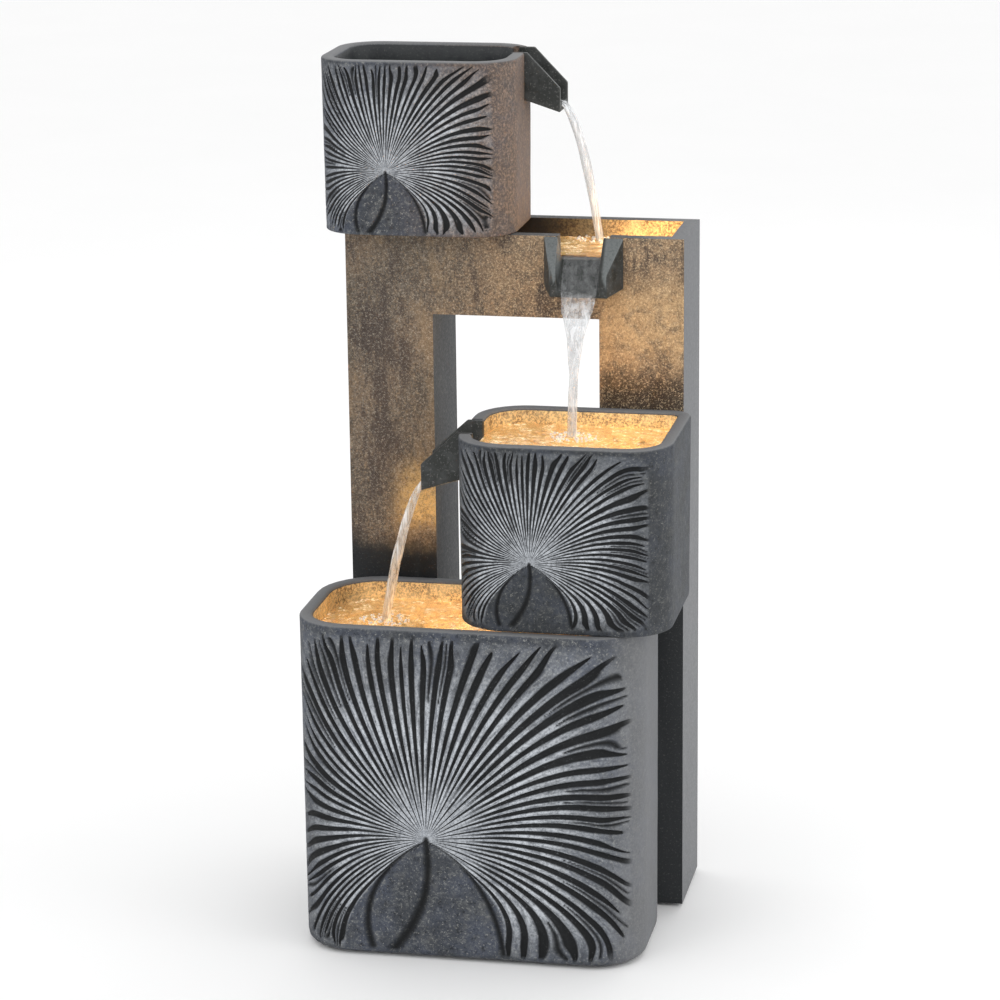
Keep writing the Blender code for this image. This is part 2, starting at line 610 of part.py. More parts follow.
def make_impeller(face):
    centre = Vector((PUMP_CENTRE.x, face + 7 * MM, PUMP_CENTRE.z))
    wheel = turned("pump_impeller",
                   [(4 * MM, 5 * MM), (4 * MM, -3 * MM), (12 * MM, -3 * MM), (12 * MM, -5 * MM),
                    (1.85 * MM, -5 * MM), (1.85 * MM, 5 * MM)],
                   centre, AXIS_Y, grey_plastic(), 20)
    vanes = 6
    for index in range(vanes):
        bm = bmesh.new()
        bmesh.ops.create_cube(bm, size=1.0)
        bmesh.ops.scale(bm, vec=(8.6 * MM, 1.4 * MM, 7.5 * MM), verts=bm.verts)
        bmesh.ops.translate(bm, vec=(7.4 * MM, 0, -0.2 * MM), verts=bm.verts)
        turn = turn_to(AXIS_Y) @ Matrix.Rotation(math.tau * index / vanes, 3, "Z")
        name = f"impeller_vane_{index + 1}"
        weld(wheel, add_object(name, mesh_from(bm, name), grey_plastic(), centre, turn))


def make_strainer_cover(lo, hi, face):
    """The slotted intake cap that pulls off the front of the pump."""
    front = face - STRAINER_DEPTH
    cover = box("pump_strainer_cover", (lo.x, front, lo.z), (hi.x, face - GAP, hi.z), black_plastic())
    wall = 2.2 * MM
    cut(cover, box("strainer_hollow", (lo.x + wall, front + wall, lo.z + wall),
                   (hi.x - wall, face + 10 * MM, hi.z - wall)))
    slots = 7
    pitch = (PUMP_SIZE.x - 12 * MM) / slots
    for index in range(slots):
        x = lo.x + 6 * MM + pitch * (index + 0.5)
        cut(cover, box(f"strainer_slot_{index + 1}", (x - 1.6 * MM, front - 5 * MM, lo.z + 7 * MM),
                       (x + 1.6 * MM, front + 5 * MM, hi.z - 7 * MM)))


def make_flow_dial(lo):
    """The knurled flow dial on the pump's left side."""
    centre = Vector((lo.x - GAP, PUMP_CENTRE.y + 8 * MM, PUMP_CENTRE.z))
    dial = turned("pump_flow_dial",
                  [(0, 4 * MM), (7 * MM, 4 * MM), (8 * MM, 3 * MM), (8 * MM, 0), (3 * MM, 0),
                   (3 * MM, -5 * MM), (0, -5 * MM)],
                  centre, -AXIS_X, grey_plastic(), 20)
    weld(dial, box("flow_dial_rib", (centre.x - 6 * MM, centre.y - 1.2 * MM, centre.z - 6.5 * MM),
                   (centre.x - 3 * MM, centre.y + 1.2 * MM, centre.z + 6.5 * MM)))


# ---- water pipe ---------------------------------------------------------------------------------
def make_pipework():
    nozzle_z = PUMP_CENTRE.z + PUMP_SIZE.z / 2 + 9.5 * MM
    route = [(HOSE_X, NOZZLE_Y, nozzle_z), (HOSE_X, NOZZLE_Y, WALL_CROSSING_Z),
             (HOSE_X, RISER_Y, WALL_CROSSING_Z), (HOSE_X, RISER_Y, HOSE_TOP)]
    tube("riser_hose", filleted_path(route, 40 * MM, 7), HOSE_RADIUS, vinyl(), HOSE_WALL)
    turned("hose_grommet",
           [(9.6 * MM, 0), (9.6 * MM, -2 * MM), (8 * MM, -2 * MM), (8 * MM, -GROMMET_LENGTH),
            (6.3 * MM, -GROMMET_LENGTH), (6.3 * MM, 0)],
           (HOSE_X, LOWER_HI.y - TANK_WALL - 2.3 * MM, WALL_CROSSING_Z), -AXIS_Y, rubber(), 20)
    turned("cable_grommet",
           [(7 * MM, 0), (7 * MM, -2 * MM), (5 * MM, -2 * MM), (5 * MM, -GROMMET_LENGTH),
            (3.3 * MM, -GROMMET_LENGTH), (3.3 * MM, 0)],
           (PUMP_CABLE_X, LOWER_HI.y - TANK_WALL - 2.3 * MM, WALL_CROSSING_Z), -AXIS_Y, rubber(), 20)
    floor = UPPER_LO.z + TANK_FLOOR + GAP
    turned("inlet_fitting",
           [(5 * MM, 20 * MM), (5 * MM, 4 * MM), (13 * MM, 4 * MM), (13 * MM, 0),
            (INLET_STEM_RADIUS, 0), (INLET_STEM_RADIUS, -32 * MM), (3.7 * MM, -33 * MM),
            (3.7 * MM, -50 * MM), (2.4 * MM, -50 * MM), (2.4 * MM, 20 * MM)],
           (HOSE_X, RISER_Y, floor), AXIS_Z, grey_plastic(), 20)
    deck = FRAME_TOP - FRAME_WALL
    ring_nut("inlet_nut", (HOSE_X, RISER_Y, deck - GAP - 3 * MM), AXIS_Z, 12 * MM, INLET_STEM_RADIUS, 6 * MM)
    for index, z in enumerate((nozzle_z + 6 * MM, HOSE_TOP - 8 * MM), 1):
        y = NOZZLE_Y if index == 1 else RISER_Y
        turned(f"hose_clamp_{index}",
               [(7.8 * MM, 3 * MM), (7.8 * MM, -3 * MM), (6.4 * MM, -3 * MM), (6.4 * MM, 3 * MM)],
               (HOSE_X, y, z), AXIS_Z, steel(), 20)


def ring_nut(name, centre, axis, radius, bore, depth):
    """A hex nut, open by a gap round its stem."""
    nut = cylinder(name, centre, axis, radius, depth, grey_plastic(), 6)
    cut(nut, cylinder(name + "_bore", centre, axis, bore + GAP, depth * 3, segments=20))
    return nut


# ---- lights and wiring --------------------------------------------------------------------------
def make_light(name, seat, axis, wall):
    """A bulkhead light: housing and stem through a wall, lens in front, nut behind.

    seat is the point where the stem meets the wall's wet side, and axis points into the water.
    """
    turned(f"{name}_housing",
           [(0, 4 * MM), (13 * MM, 4 * MM), (13 * MM, 7 * MM), (15 * MM, 8 * MM), (LIGHT_RADIUS, 6 * MM),
            (LIGHT_RADIUS, 0.3 * MM), (LIGHT_STEM_RADIUS, 0.3 * MM),
            (LIGHT_STEM_RADIUS, -wall - 9 * MM), (0, -wall - 9 * MM)],
           seat, axis, black_plastic())
    turned(f"{name}_lens",
           [(0, 9.5 * MM), (6 * MM, 9.1 * MM), (10 * MM, 8 * MM), (12.6 * MM, 6 * MM),
            (12.6 * MM, 4.3 * MM), (0, 4.3 * MM)],
           seat, axis, clear_lens())
    ring_nut(f"{name}_nut", Vector(seat) - axis * (wall + GAP + 2.5 * MM), axis, 9 * MM,
             LIGHT_STEM_RADIUS, 5 * MM)


def make_lights():
    through = FRAME_Y[0] + FRAME_WALL - (LOWER_HI.y - TANK_WALL)
    make_light("lower_light", LOWER_LIGHT, -AXIS_Y, through)
    make_light("middle_light", MIDDLE_LIGHT, -AXIS_Y, through)
    make_light("trough_light", TROUGH_LIGHT, AXIS_Z, FRAME_WALL)


def make_wiring():
    stem_end = FRAME_Y[0] + FRAME_WALL + 9.5 * MM
    pump_back = PUMP_CENTRE.y + PUMP_SIZE.y / 2 + GAP
    lo, hi = JUNCTION_LO, JUNCTION_HI
    depth = 52 * MM
    routes = {
        "pump_cable": [
            (PUMP_CABLE_X, pump_back, 34 * MM), (PUMP_CABLE_X, -6 * MM, 34 * MM),
            (PUMP_CABLE_X, -6 * MM, WALL_CROSSING_Z), (PUMP_CABLE_X, 64 * MM, WALL_CROSSING_Z),
            (PUMP_CABLE_X, 64 * MM, 135 * MM), (-60 * MM, depth, 135 * MM), (lo.x - GAP, depth, 135 * MM)],
        "lower_light_cable": [
            (LOWER_LIGHT.x, stem_end, LOWER_LIGHT.z), (LOWER_LIGHT.x, 72 * MM, LOWER_LIGHT.z),
            (LOWER_LIGHT.x, 72 * MM, 163 * MM), (LOWER_LIGHT.x, depth, 163 * MM),
            (lo.x - GAP, depth, 163 * MM)],
        "middle_light_cable": [
            (MIDDLE_LIGHT.x, stem_end, MIDDLE_LIGHT.z), (MIDDLE_LIGHT.x, 66 * MM, MIDDLE_LIGHT.z),
            (MIDDLE_LIGHT.x, 66 * MM, 137 * MM), (90 * MM, depth, 137 * MM), (hi.x + GAP, depth, 137 * MM)],
        "trough_light_cable": [
            (TROUGH_LIGHT.x, TROUGH_LIGHT.y, TROUGH_FLOOR - FRAME_WALL - 9.5 * MM),
            (TROUGH_LIGHT.x, 88 * MM, 480 * MM), (TROUGH_LIGHT.x, 88 * MM, 164 * MM),
            (90 * MM, depth, 164 * MM), (hi.x + GAP, depth, 164 * MM)],
        "supply_lead": [
            (GLAND_POINT.x, FRAME_Y[1] - 16 * MM, GLAND_POINT.z), (GLAND_POINT.x, 84 * MM, GLAND_POINT.z),
            (35 * MM, depth, 60 * MM), (35 * MM, depth, lo.z - GAP)]}
    for name, route in routes.items():
        tube(name, filleted_path(route, 16 * MM, 4), CABLE_RADIUS, rubber())
    box_body = box("junction_box", lo, hi, grey_plastic())
    wall = 2.5 * MM
    cut(box_body, box("junction_box_hollow", lo + Vector((wall, wall, wall)),
                      (hi.x - wall, hi.y + 10 * MM, hi.z - wall)))
    box("junction_box_lid", (lo.x, hi.y + GAP, lo.z), (hi.x, hi.y + 3.5 * MM, hi.z), grey_plastic())


def make_gland():
    """The cable gland in the back panel: its body outside and its nut inside."""
    turned("cable_gland",
           [(6 * MM, 13 * MM), (8.5 * MM, 12 * MM), (8.5 * MM, 6 * MM), (11.5 * MM, 5.5 * MM),
            (11.5 * MM, 0), (8 * MM, 0), (8 * MM, -15.3 * MM), (3.6 * MM, -15.3 * MM), (3.6 * MM, 13 * MM)],
           GLAND_POINT, AXIS_Y, black_plastic(), 20)
    ring_nut("cable_gland_nut", (GLAND_POINT.x, FRAME_Y[1] - REAR_PANEL_THICKNESS - GAP - 2.5 * MM,
                                 GLAND_POINT.z), AXIS_Y, 12 * MM, 8 * MM, 5 * MM)


def make_drain_plug():
    turned("drain_plug",
           [(0, 2.6 * MM), (10 * MM, 2.4 * MM), (11 * MM, 1.2 * MM), (11 * MM, GAP), (7.6 * MM, GAP),
            (7.2 * MM, -16 * MM), (0, -16 * MM)],
           DRAIN_POINT, -AXIS_X, rubber())


clear_scene()
PARTS = new_collection("tiered_water_fountain")
CUTTERS = new_collection("cutters")
make_tanks()
make_spouts()
make_frame()
make_rear_panel()
make_access_door()
make_pads()
make_tank_bolts()
make_pump()
make_pipework()
make_lights()
make_wiring()
make_gland()
make_drain_plug()
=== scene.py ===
"""Looks of the tiered water fountain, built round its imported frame.

Units are metres and +Z is up. Every piece takes its place from the frame's nodes, and rides on one body.
"""
import json
import math

import bmesh
import bpy
import numpy as np
from bpy.props import FloatProperty, FloatVectorProperty, IntProperty, PointerProperty
from mathutils import Matrix, Vector, noise


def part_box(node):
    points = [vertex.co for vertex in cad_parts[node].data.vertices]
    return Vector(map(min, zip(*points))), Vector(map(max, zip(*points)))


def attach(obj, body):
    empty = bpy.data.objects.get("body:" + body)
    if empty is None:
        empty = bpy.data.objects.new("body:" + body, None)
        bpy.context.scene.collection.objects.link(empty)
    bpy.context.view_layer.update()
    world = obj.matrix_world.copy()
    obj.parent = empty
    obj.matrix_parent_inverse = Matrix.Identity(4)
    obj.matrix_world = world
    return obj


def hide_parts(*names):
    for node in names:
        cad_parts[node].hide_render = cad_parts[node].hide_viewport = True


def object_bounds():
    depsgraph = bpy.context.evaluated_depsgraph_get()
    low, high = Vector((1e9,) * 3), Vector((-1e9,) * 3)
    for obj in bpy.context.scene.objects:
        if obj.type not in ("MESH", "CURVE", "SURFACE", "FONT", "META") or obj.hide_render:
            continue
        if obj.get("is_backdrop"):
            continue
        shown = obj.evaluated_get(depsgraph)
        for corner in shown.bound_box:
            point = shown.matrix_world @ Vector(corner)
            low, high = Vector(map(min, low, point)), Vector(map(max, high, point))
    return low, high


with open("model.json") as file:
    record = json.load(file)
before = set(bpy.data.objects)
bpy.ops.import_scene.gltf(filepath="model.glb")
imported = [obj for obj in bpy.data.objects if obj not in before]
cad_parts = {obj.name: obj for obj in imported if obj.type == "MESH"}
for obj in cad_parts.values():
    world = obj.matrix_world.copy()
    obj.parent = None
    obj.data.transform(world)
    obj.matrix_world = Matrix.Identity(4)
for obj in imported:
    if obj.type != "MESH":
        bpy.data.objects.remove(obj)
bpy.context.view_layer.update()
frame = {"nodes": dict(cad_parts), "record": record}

bl_info = {
    "name": "Tiered water fountain",
    "version": (1, 0, 0),
    "blender": (4, 5, 0),
    "location": "3D View > Sidebar > Fountain",
    "description": "Builds the cast tanks, frame, water and fittings of a tiered fountain round its frame",
    "category": "Add Mesh",
}

MM = 0.001
ROOT = "fountain"
UP = Vector((0, 0, 1))
PORTAL_X = (-72 * MM, 88.5 * MM)  # the portal's opening; the trough starts over its left side
WATER_INSET = 0.4 * MM  # between a basin's wall and its water


# ---- settings -----------------------------------------------------------------------------------
def colour(name, description, default):
    return FloatVectorProperty(name=name, description=description, default=default, size=3,
                               subtype="COLOR", min=0.0, max=1.0)


def length(name, description, default):
    return FloatProperty(name=name, description=description, default=default, subtype="DISTANCE",
                         unit="LENGTH", precision=4)


class FountainSizes(bpy.types.PropertyGroup):
    wall: length("Tank wall", "Thickness of the cast tank walls", 13 * MM)
    floor: length("Tank floor", "Thickness of the cast tank floors", 12 * MM)
    rim_round: length("Rim rounding", "Radius of the edges of each rim", 2.2 * MM)
    leaf_pitch: length("Relief pitch", "Grid pitch of the leaf relief on the lower tank", 1.4 * MM)
    leaf_depth: length("Relief depth", "Depth of the leaf grooves on the lower tank", 3.4 * MM)
    edge_round: length("Edge rounding", "Rounding of the cast frame's edges", 1.4 * MM)
    upper_level: length("Upper water", "Height of the upper tank's water", 797 * MM)
    trough_level: length("Trough water", "Height of the trough's water", 648 * MM)
    middle_level: length("Middle water", "Height of the middle tank's water", 487 * MM)
    lower_level: length("Lower water", "Height of the lower tank's water", 307 * MM)
    blades: IntProperty(name="Leaf grooves", description="Grooves in each fan leaf", default=62, min=12)


class FountainColours(bpy.types.PropertyGroup):
    slate: colour("Slate", "Body colour of the tanks", (0.05, 0.055, 0.064))
    brushed: colour("Dry brush", "Pale paint on the leaf's ridges", (0.56, 0.59, 0.63))
    groove: colour("Groove", "Dark wash in the leaf's grooves", (0.006, 0.0065, 0.007))
    rim: colour("Rims", "Pale rims and plain tank sides", (0.2, 0.203, 0.208))
    stone: colour("Plain stone", "Frame sides", (0.17, 0.174, 0.182))
    bronze: colour("Bronze wash", "Frame front", (0.105, 0.086, 0.068))
    gold: colour("Gold speckle", "Bright specks on the frame front", (0.56, 0.38, 0.22))
    spout: colour("Spout", "Dark wet spouts", (0.022, 0.024, 0.022))
    glow: colour("Lamp glow", "Warm light of the submerged lamps", (1.0, 0.65, 0.31))
    water: colour("Water", "Falling water", (0.86, 0.88, 0.9))


# ---- shader expressions -------------------------------------------------------------------------
class Wire:
    """A socket's value in a node tree, which adds Math nodes as it is used in an expression."""

    def __init__(self, finish, socket):
        self.finish = finish
        self.socket = socket

    def __add__(self, other):
        return self.finish.maths("ADD", self, other)

    def __radd__(self, other):
        return self.finish.maths("ADD", other, self)

    def __sub__(self, other):
        return self.finish.maths("SUBTRACT", self, other)

    def __mul__(self, other):
        return self.finish.maths("MULTIPLY", self, other)

    def __rmul__(self, other):
        return self.finish.maths("MULTIPLY", other, self)


class Finish:
    """A material and the nodes that make it."""

    def __init__(self, name):
        self.material = bpy.data.materials.new(name)
        self.material.use_nodes = True
        self.tree = self.material.node_tree
        self.shader = self.tree.nodes["Principled BSDF"]

    def node(self, kind, settings=None, inputs=None, output=0):
        made = self.tree.nodes.new(kind)
        for key, value in (settings or {}).items():
            setattr(made, key, value)
        for key, value in (inputs or {}).items():
            self.feed(made.inputs[key], value)
        return Wire(self, made.outputs[output])

    def feed(self, socket, value):
        if isinstance(value, Wire):
            self.tree.links.new(value.socket, socket)
        elif socket.type == "RGBA" and len(value) == 3:
            socket.default_value = (*value, 1.0)
        else:
            socket.default_value = value

    def maths(self, operation, first, second=0.5):
        return self.node("ShaderNodeMath", {"operation": operation}, {0: first, 1: second})

    def place(self):
        return self.node("ShaderNodeTexCoord", output="Object")

    def speckle(self, scale, detail=3.0, roughness=0.6, stretch=(1, 1, 1)):
        """Noise on the piece's own coordinates, at so many cells a metre."""
        where = self.node("ShaderNodeMapping", {}, {"Vector": self.place(), "Scale": stretch})
        return self.node("ShaderNodeTexNoise", {}, {"Vector": where, "Scale": scale, "Detail": detail,
                                                   "Roughness": roughness}, "Fac")

    def band(self, value, low, high, to_low=0.0, to_high=1.0):
        """A value's range from low to high, spread smoothly over to_low to to_high."""
        return self.node("ShaderNodeMapRange", {"interpolation_type": "SMOOTHSTEP"},
                         {"Value": value, "From Min": low, "From Max": high, "To Min": to_low,
                          "To Max": to_high}, "Result")

    def blend(self, factor, first, second):
        """Two colours mixed by a factor."""
        made = self.tree.nodes.new("ShaderNodeMix")
        made.data_type = "RGBA"
        for index, value in ((0, factor), (6, first), (7, second)):
            self.feed(made.inputs[index], value)
        return Wire(self, made.outputs[2])

    def coats(self, base, *layers):
        """Thin coats over a base colour: each is (texture, start, full, most, colour).

        A coat is nothing where its texture is at start, and covers its most where the texture is at full.
        """
        for texture, start, full, most, shade in layers:
            base = self.blend(self.band(texture, start, full, 0.0, most), base, shade)
        return base

    def distance(self, point):
        ends = {0: self.place(), 1: point}
        return self.node("ShaderNodeVectorMath", {"operation": "DISTANCE"}, ends, "Value")

    def attribute(self, name):
        return self.node("ShaderNodeAttribute", {"attribute_name": name}, {}, "Fac")

    def axis(self, letter):
        return self.node("ShaderNodeSeparateXYZ", {}, {0: self.place()}, letter)

    def facing(self, letter):
        """One part of the surface's normal."""
        normal = self.node("ShaderNodeNewGeometry", output="Normal")
        return self.node("ShaderNodeSeparateXYZ", {}, {0: normal}, letter)

    def bump(self, height, strength, distance):
        bumped = self.node("ShaderNodeBump", {}, {"Strength": strength, "Distance": distance,
                                                 "Height": height}, "Normal")
        self.feed(self.shader.inputs["Normal"], bumped)

    def surface(self, **values):
        for key, value in values.items():
            self.feed(self.shader.inputs[key.replace("_", " ")], value)
        return self.material


# ---- finishes -----------------------------------------------------------------------------------
def cast_slate(name, hub, warm_light_and_bronze=None, shade=0.0):
    """Washed and dry-brushed resin, with the leaf's grooves and ridges drawn round its hub (x, z).

    The argument after hub is (start x, end x): between them a bronze colour rises towards the tank's right
    side, partly bronze paint and partly painted warm lamplight. shade is how far the whole tank is darkened.
    Every second groove starts farther out than the rest.
    """
    tones = bpy.context.scene.fountain_colours
    f = Finish(name)
    cloud = f.band(f.speckle(22.0, 4.0), 0.36, 0.68)
    grain = f.speckle(430.0, 3.0, 0.75)
    blotch = f.speckle(80.0, 6.0, 0.7)
    fleck = f.speckle(170.0, 6.0, 0.85)
    base = f.blend(cloud, tones.slate, (0.07, 0.08, 0.105))
    base = f.coats(base, (blotch, 0.5, 0.68, 0.55, (0.115, 0.118, 0.118)),
                   (fleck, 0.53, 0.63, 0.6, (0.19, 0.195, 0.19)),
                   (fleck, 0.47, 0.37, 0.75, (0.014, 0.015, 0.017)),
                   (grain, 0.56, 0.7, 0.7, (0.34, 0.34, 0.32)))
    # painted warm lamplight mixed with bronze paint, rising towards the tank's right side
    if warm_light_and_bronze:
        warm_light_and_bronze_share = f.band(f.axis("X"), *warm_light_and_bronze) * f.band(blotch, 0.3, 0.6, 0.55, 1.0)
        bronze = f.blend(f.band(grain, 0.4, 0.66), (0.1, 0.07, 0.052), (0.3, 0.2, 0.14))
        base = f.blend(warm_light_and_bronze_share * 0.8, base, bronze)
    base = f.blend(shade, base, (0.018, 0.019, 0.016))
    gap = f.attribute("gap")
    fan = f.attribute("fan")
    run = f.attribute("run")
    angle = f.maths("ARCTAN2", f.axis("X") - hub[0], f.axis("Z") - hub[1])
    blade = angle * (math.degrees(1) * blades_per_degree()) + f.attribute("bend")
    from_groove = f.maths("ABSOLUTE", f.maths("FRACT", blade + 0.5) - 0.5)
    odd = f.maths("FRACT", f.maths("FLOOR", blade + 0.5) * 0.5) * 2.0
    ray = f.band(from_groove, gap * 1.2, gap * 0.75) * f.band(gap, 0.02, 0.06)
    ray = ray * f.band(run, odd * 0.1 + 0.02, odd * 0.24 + 0.07)
    along = f.node("ShaderNodeCombineXYZ", {}, {0: blade * 2.6, 1: run * 7.0})
    streak = f.node("ShaderNodeTexNoise", {}, {"Vector": along, "Scale": 1.0, "Detail": 4.0,
                                              "Roughness": 0.7}, "Fac")
    worn = f.band(streak, 0.38, 0.58, 0.34, 1.0) * f.band(grain, 0.34, 0.56, 0.45, 1.0)
    fade = f.band(run, 1.0, 0.5, 0.16, 1.0)
    base = f.blend(fan * worn * fade, base, tones.brushed)
    base = f.blend(f.attribute("plain") * f.band(grain, 0.3, 0.6, 0.7, 1.0), base, tones.rim)
    dark = f.maths("MAXIMUM", ray * fan, f.attribute("groove"))
    base = f.blend(dark * f.band(grain, 0.75, 0.6, 0.8, 0.97), base, tones.groove)
    f.bump(grain * 0.3 + blotch * 0.4 - dark * 1.1, 0.7, 1.0 * MM)
    return f.surface(Base_Color=base, Roughness=f.band(grain, 0.3, 0.7, 0.58, 0.8), Specular_IOR_Level=0.18)


def dark_basin(name):
    """The unlit inside of the upper tank: wet, dark and speckled."""
    f = Finish(name)
    grain = f.speckle(430.0, 3.0, 0.75)
    cloud = f.speckle(40.0, 4.0)
    base = f.blend(f.band(cloud, 0.4, 0.62), (0.014, 0.017, 0.02), (0.034, 0.038, 0.04))
    base = f.coats(base, (grain, 0.56, 0.7, 0.5, (0.12, 0.12, 0.11)))
    f.bump(grain, 0.4, 0.8 * MM)
    return f.surface(Base_Color=base, Roughness=f.band(cloud, 0.3, 0.7, 0.4, 0.65))


def lit_basin(name, lamp, reach, dim=None):
    """A basin's inside with its lamp's light painted on: speckled gold painted as lamplight on the resin, and a
    painted glow brightest round its lamp.

    dim is (start x, end x): painted shade before the first, and the painted gold lamplight past the second.
    """
    tones = bpy.context.scene.fountain_colours
    f = Finish(name)
    grain = f.speckle(420.0, 3.0, 0.75)
    patch = f.speckle(60.0, 4.0)
    fleck = f.speckle(200.0, 6.0, 0.85)
    # painted lamplight: the gold of the basin's inside is its lamp's light painted on
    base = f.blend(f.band(grain, 0.4, 0.58), (0.16, 0.08, 0.022), (0.68, 0.45, 0.18))
    base = f.coats(base, (fleck, 0.49, 0.38, 0.85, (0.09, 0.045, 0.015)),
                   (patch, 0.4, 0.65, 0.5, (0.8, 0.62, 0.32)))
    # painted shade: dark where the lamp's light does not reach, gold past it
    gold = f.band(f.axis("X") + fleck * 0.04 - 0.02, *dim) if dim else 1.0
    base = f.blend(gold, (0.016, 0.011, 0.008), base)
    strength = f.band(f.distance(lamp), reach, 0.02, 0.12, 1.0) * f.band(grain, 0.32, 0.66, 0.35, 1.0)
    light = f.blend(strength * gold, (0.0, 0.0, 0.0), tones.glow)
    f.bump(grain, 0.7, 1.4 * MM)
    return f.surface(Base_Color=base, Roughness=f.band(grain, 0.3, 0.7, 0.3, 0.6),
                     Emission_Color=light, Emission_Strength=0.4)


def bronze_wash(name):
    """Frame resin: speckled bronze on the front face, more golden to the right partly with painted lamplight,
    with painted lamplight and painted shade on the posts, dark slate at its foot, and plain stone on the sides
    with painted shade on the jambs.
    """
    tones = bpy.context.scene.fountain_colours
    f = Finish(name)
    grain = f.speckle(400.0, 3.0, 0.8)
    blotch = f.speckle(70.0, 6.0, 0.75)
    cloud = f.speckle(13.0, 4.0)
    stroke = f.speckle(330.0, 3.0, 0.65, (1, 1, 0.13))
    drift = f.speckle(24.0, 6.0, 0.75, (1, 1, 0.35))
    fleck = f.speckle(190.0, 6.0, 0.85)
    mica = f.speckle(640.0, 4.0, 0.9)
    lower_rim, middle_rim, top = (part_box(node)[1].z for node in ("lower_tank", "middle_tank", "portal_frame"))
    across = f.axis("X")
    height = f.axis("Z") + blotch * 0.03
    # the front grows more golden towards the frame's right side: partly bronze paint, partly painted warm
    # lamplight
    right = f.band(across, -100 * MM, 60 * MM)
    front = f.blend(f.band(cloud, 0.4, 0.62), tones.bronze, (0.17, 0.125, 0.088))
    front = f.coats(front, (stroke, 0.5, 0.7, 0.55, (0.2, 0.175, 0.145)),
                    (blotch, 0.46, 0.3, 0.6, (0.045, 0.043, 0.042)))
    front = f.blend(right * f.band(blotch, 0.38, 0.62, 0.1, 0.75), front, (0.36, 0.235, 0.135))
    front = f.blend(f.band(grain, 0.53, 0.66) * (0.4 + right * 0.5), front, tones.gold)
    front = f.coats(front, (grain, 0.45, 0.31, 0.85, (0.022, 0.018, 0.015)),
                    (fleck, 0.52, 0.62, 0.6, f.blend(right, (0.27, 0.21, 0.15), (0.42, 0.28, 0.16))),
                    (drift, 0.5, 0.6, 0.75, (0.055, 0.042, 0.039)),
                    (drift, 0.46, 0.36, 0.5, (0.3, 0.21, 0.125)),
                    (fleck, 0.47, 0.36, 0.45, (0.045, 0.034, 0.028)))
    # lamplight painted on the right post over the middle tank, and beside the portal over the lower tank
    post = f.band(across, PORTAL_X[1] - 4.5 * MM, PORTAL_X[1] + 7.5 * MM)
    lit = post * f.band(height, middle_rim + 43 * MM, middle_rim + 83 * MM)
    lit = lit * f.band(height, top - 5.5 * MM, top - 50.5 * MM)
    front = f.blend(lit * f.band(blotch, 0.36, 0.56, 0.3, 0.75), front, (0.62, 0.4, 0.2))
    jamb = f.band(across, PORTAL_X[0] - 50 * MM, PORTAL_X[0] - 16 * MM)
    jamb = jamb * f.band(across, PORTAL_X[0] + 72 * MM, PORTAL_X[0] + 52 * MM)
    jamb = jamb * f.band(height, lower_rim + 59 * MM, lower_rim + 79 * MM)
    jamb = jamb * f.band(height, lower_rim + 144 * MM, lower_rim + 94 * MM)
    front = f.blend(jamb * f.band(fleck, 0.38, 0.54, 0.3, 0.9), front, (0.8, 0.52, 0.2))
    # painted shade: a dark band on the post just above the middle tank's rim, where the rim hides the lamp
    dim = post * f.band(height, middle_rim + 63 * MM, middle_rim + 33 * MM, 0.0, 0.9)
    front = f.blend(dim, front, (0.03, 0.023, 0.019))
    # the specks brighten towards the right, partly with painted lamplight
    glitter = f.blend(right, (0.5, 0.44, 0.35), (0.95, 0.72, 0.44))
    front = f.coats(front, (mica, 0.54, 0.62, 0.62, glitter), (mica, 0.46, 0.38, 0.65, (0.06, 0.04, 0.028)))
    foot = f.coats((0.02, 0.022, 0.024), (grain, 0.54, 0.7, 0.4, (0.12, 0.12, 0.115)))
    front = f.blend(f.band(height, lower_rim + 36 * MM, lower_rim + 64 * MM), foot, front)
    # painted shade: side faces left of x = 100 mm, the portal's jambs among them, are darker than the outer
    # right side
    side = f.blend(f.band(across, 100 * MM, 160 * MM, 0.3, 1.0), (0.03, 0.032, 0.032), tones.stone)
    side = f.coats(side, (fleck, 0.52, 0.64, 0.4, (0.23, 0.225, 0.21)),
                   (stroke, 0.48, 0.7, 0.3, (0.11, 0.115, 0.12)))
    is_front = f.band(f.facing("Y"), -0.35, -0.75)
    f.bump(grain * 0.6 + blotch * 0.4, 0.5, 1.0 * MM)
    return f.surface(Base_Color=f.blend(is_front, side, front), Roughness=f.band(grain, 0.3, 0.7, 0.5, 0.78),
                     Specular_IOR_Level=0.2)


def wet_spout(name):
    """Dark olive-grey resin, glossy where water wets it."""
    tones = bpy.context.scene.fountain_colours
    f = Finish(name)
    grain = f.speckle(520.0, 3.0, 0.7)
    blotch = f.speckle(70.0, 4.0)
    base = f.blend(f.band(blotch, 0.4, 0.65), tones.spout, (0.05, 0.053, 0.052))
    base = f.coats(base, (grain, 0.56, 0.72, 0.5, (0.24, 0.24, 0.23)))
    # the upward-facing upper edges of the chute's two side plates are paler
    lo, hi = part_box("trough_spout")
    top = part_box("portal_frame")[1].z
    aside = f.maths("ABSOLUTE", f.axis("X") - (lo.x + hi.x) / 2)
    rim = f.band(f.facing("Z"), 0.1, 0.3, 0.0, 0.85) * f.band(f.axis("Z"), lo.z, lo.z + 13 * MM)
    rim = rim * f.band(f.axis("Z"), top + 34.5 * MM, top + 24.5 * MM) * f.band(aside, 20 * MM, 23 * MM)
    base = f.blend(rim * f.band(grain, 0.3, 0.55, 0.6, 1.0), base, (0.17, 0.185, 0.185))
    f.bump(grain, 0.35, 0.6 * MM)
    return f.surface(Base_Color=base, Roughness=f.band(blotch, 0.35, 0.65, 0.32, 0.6), Specular_IOR_Level=0.3)


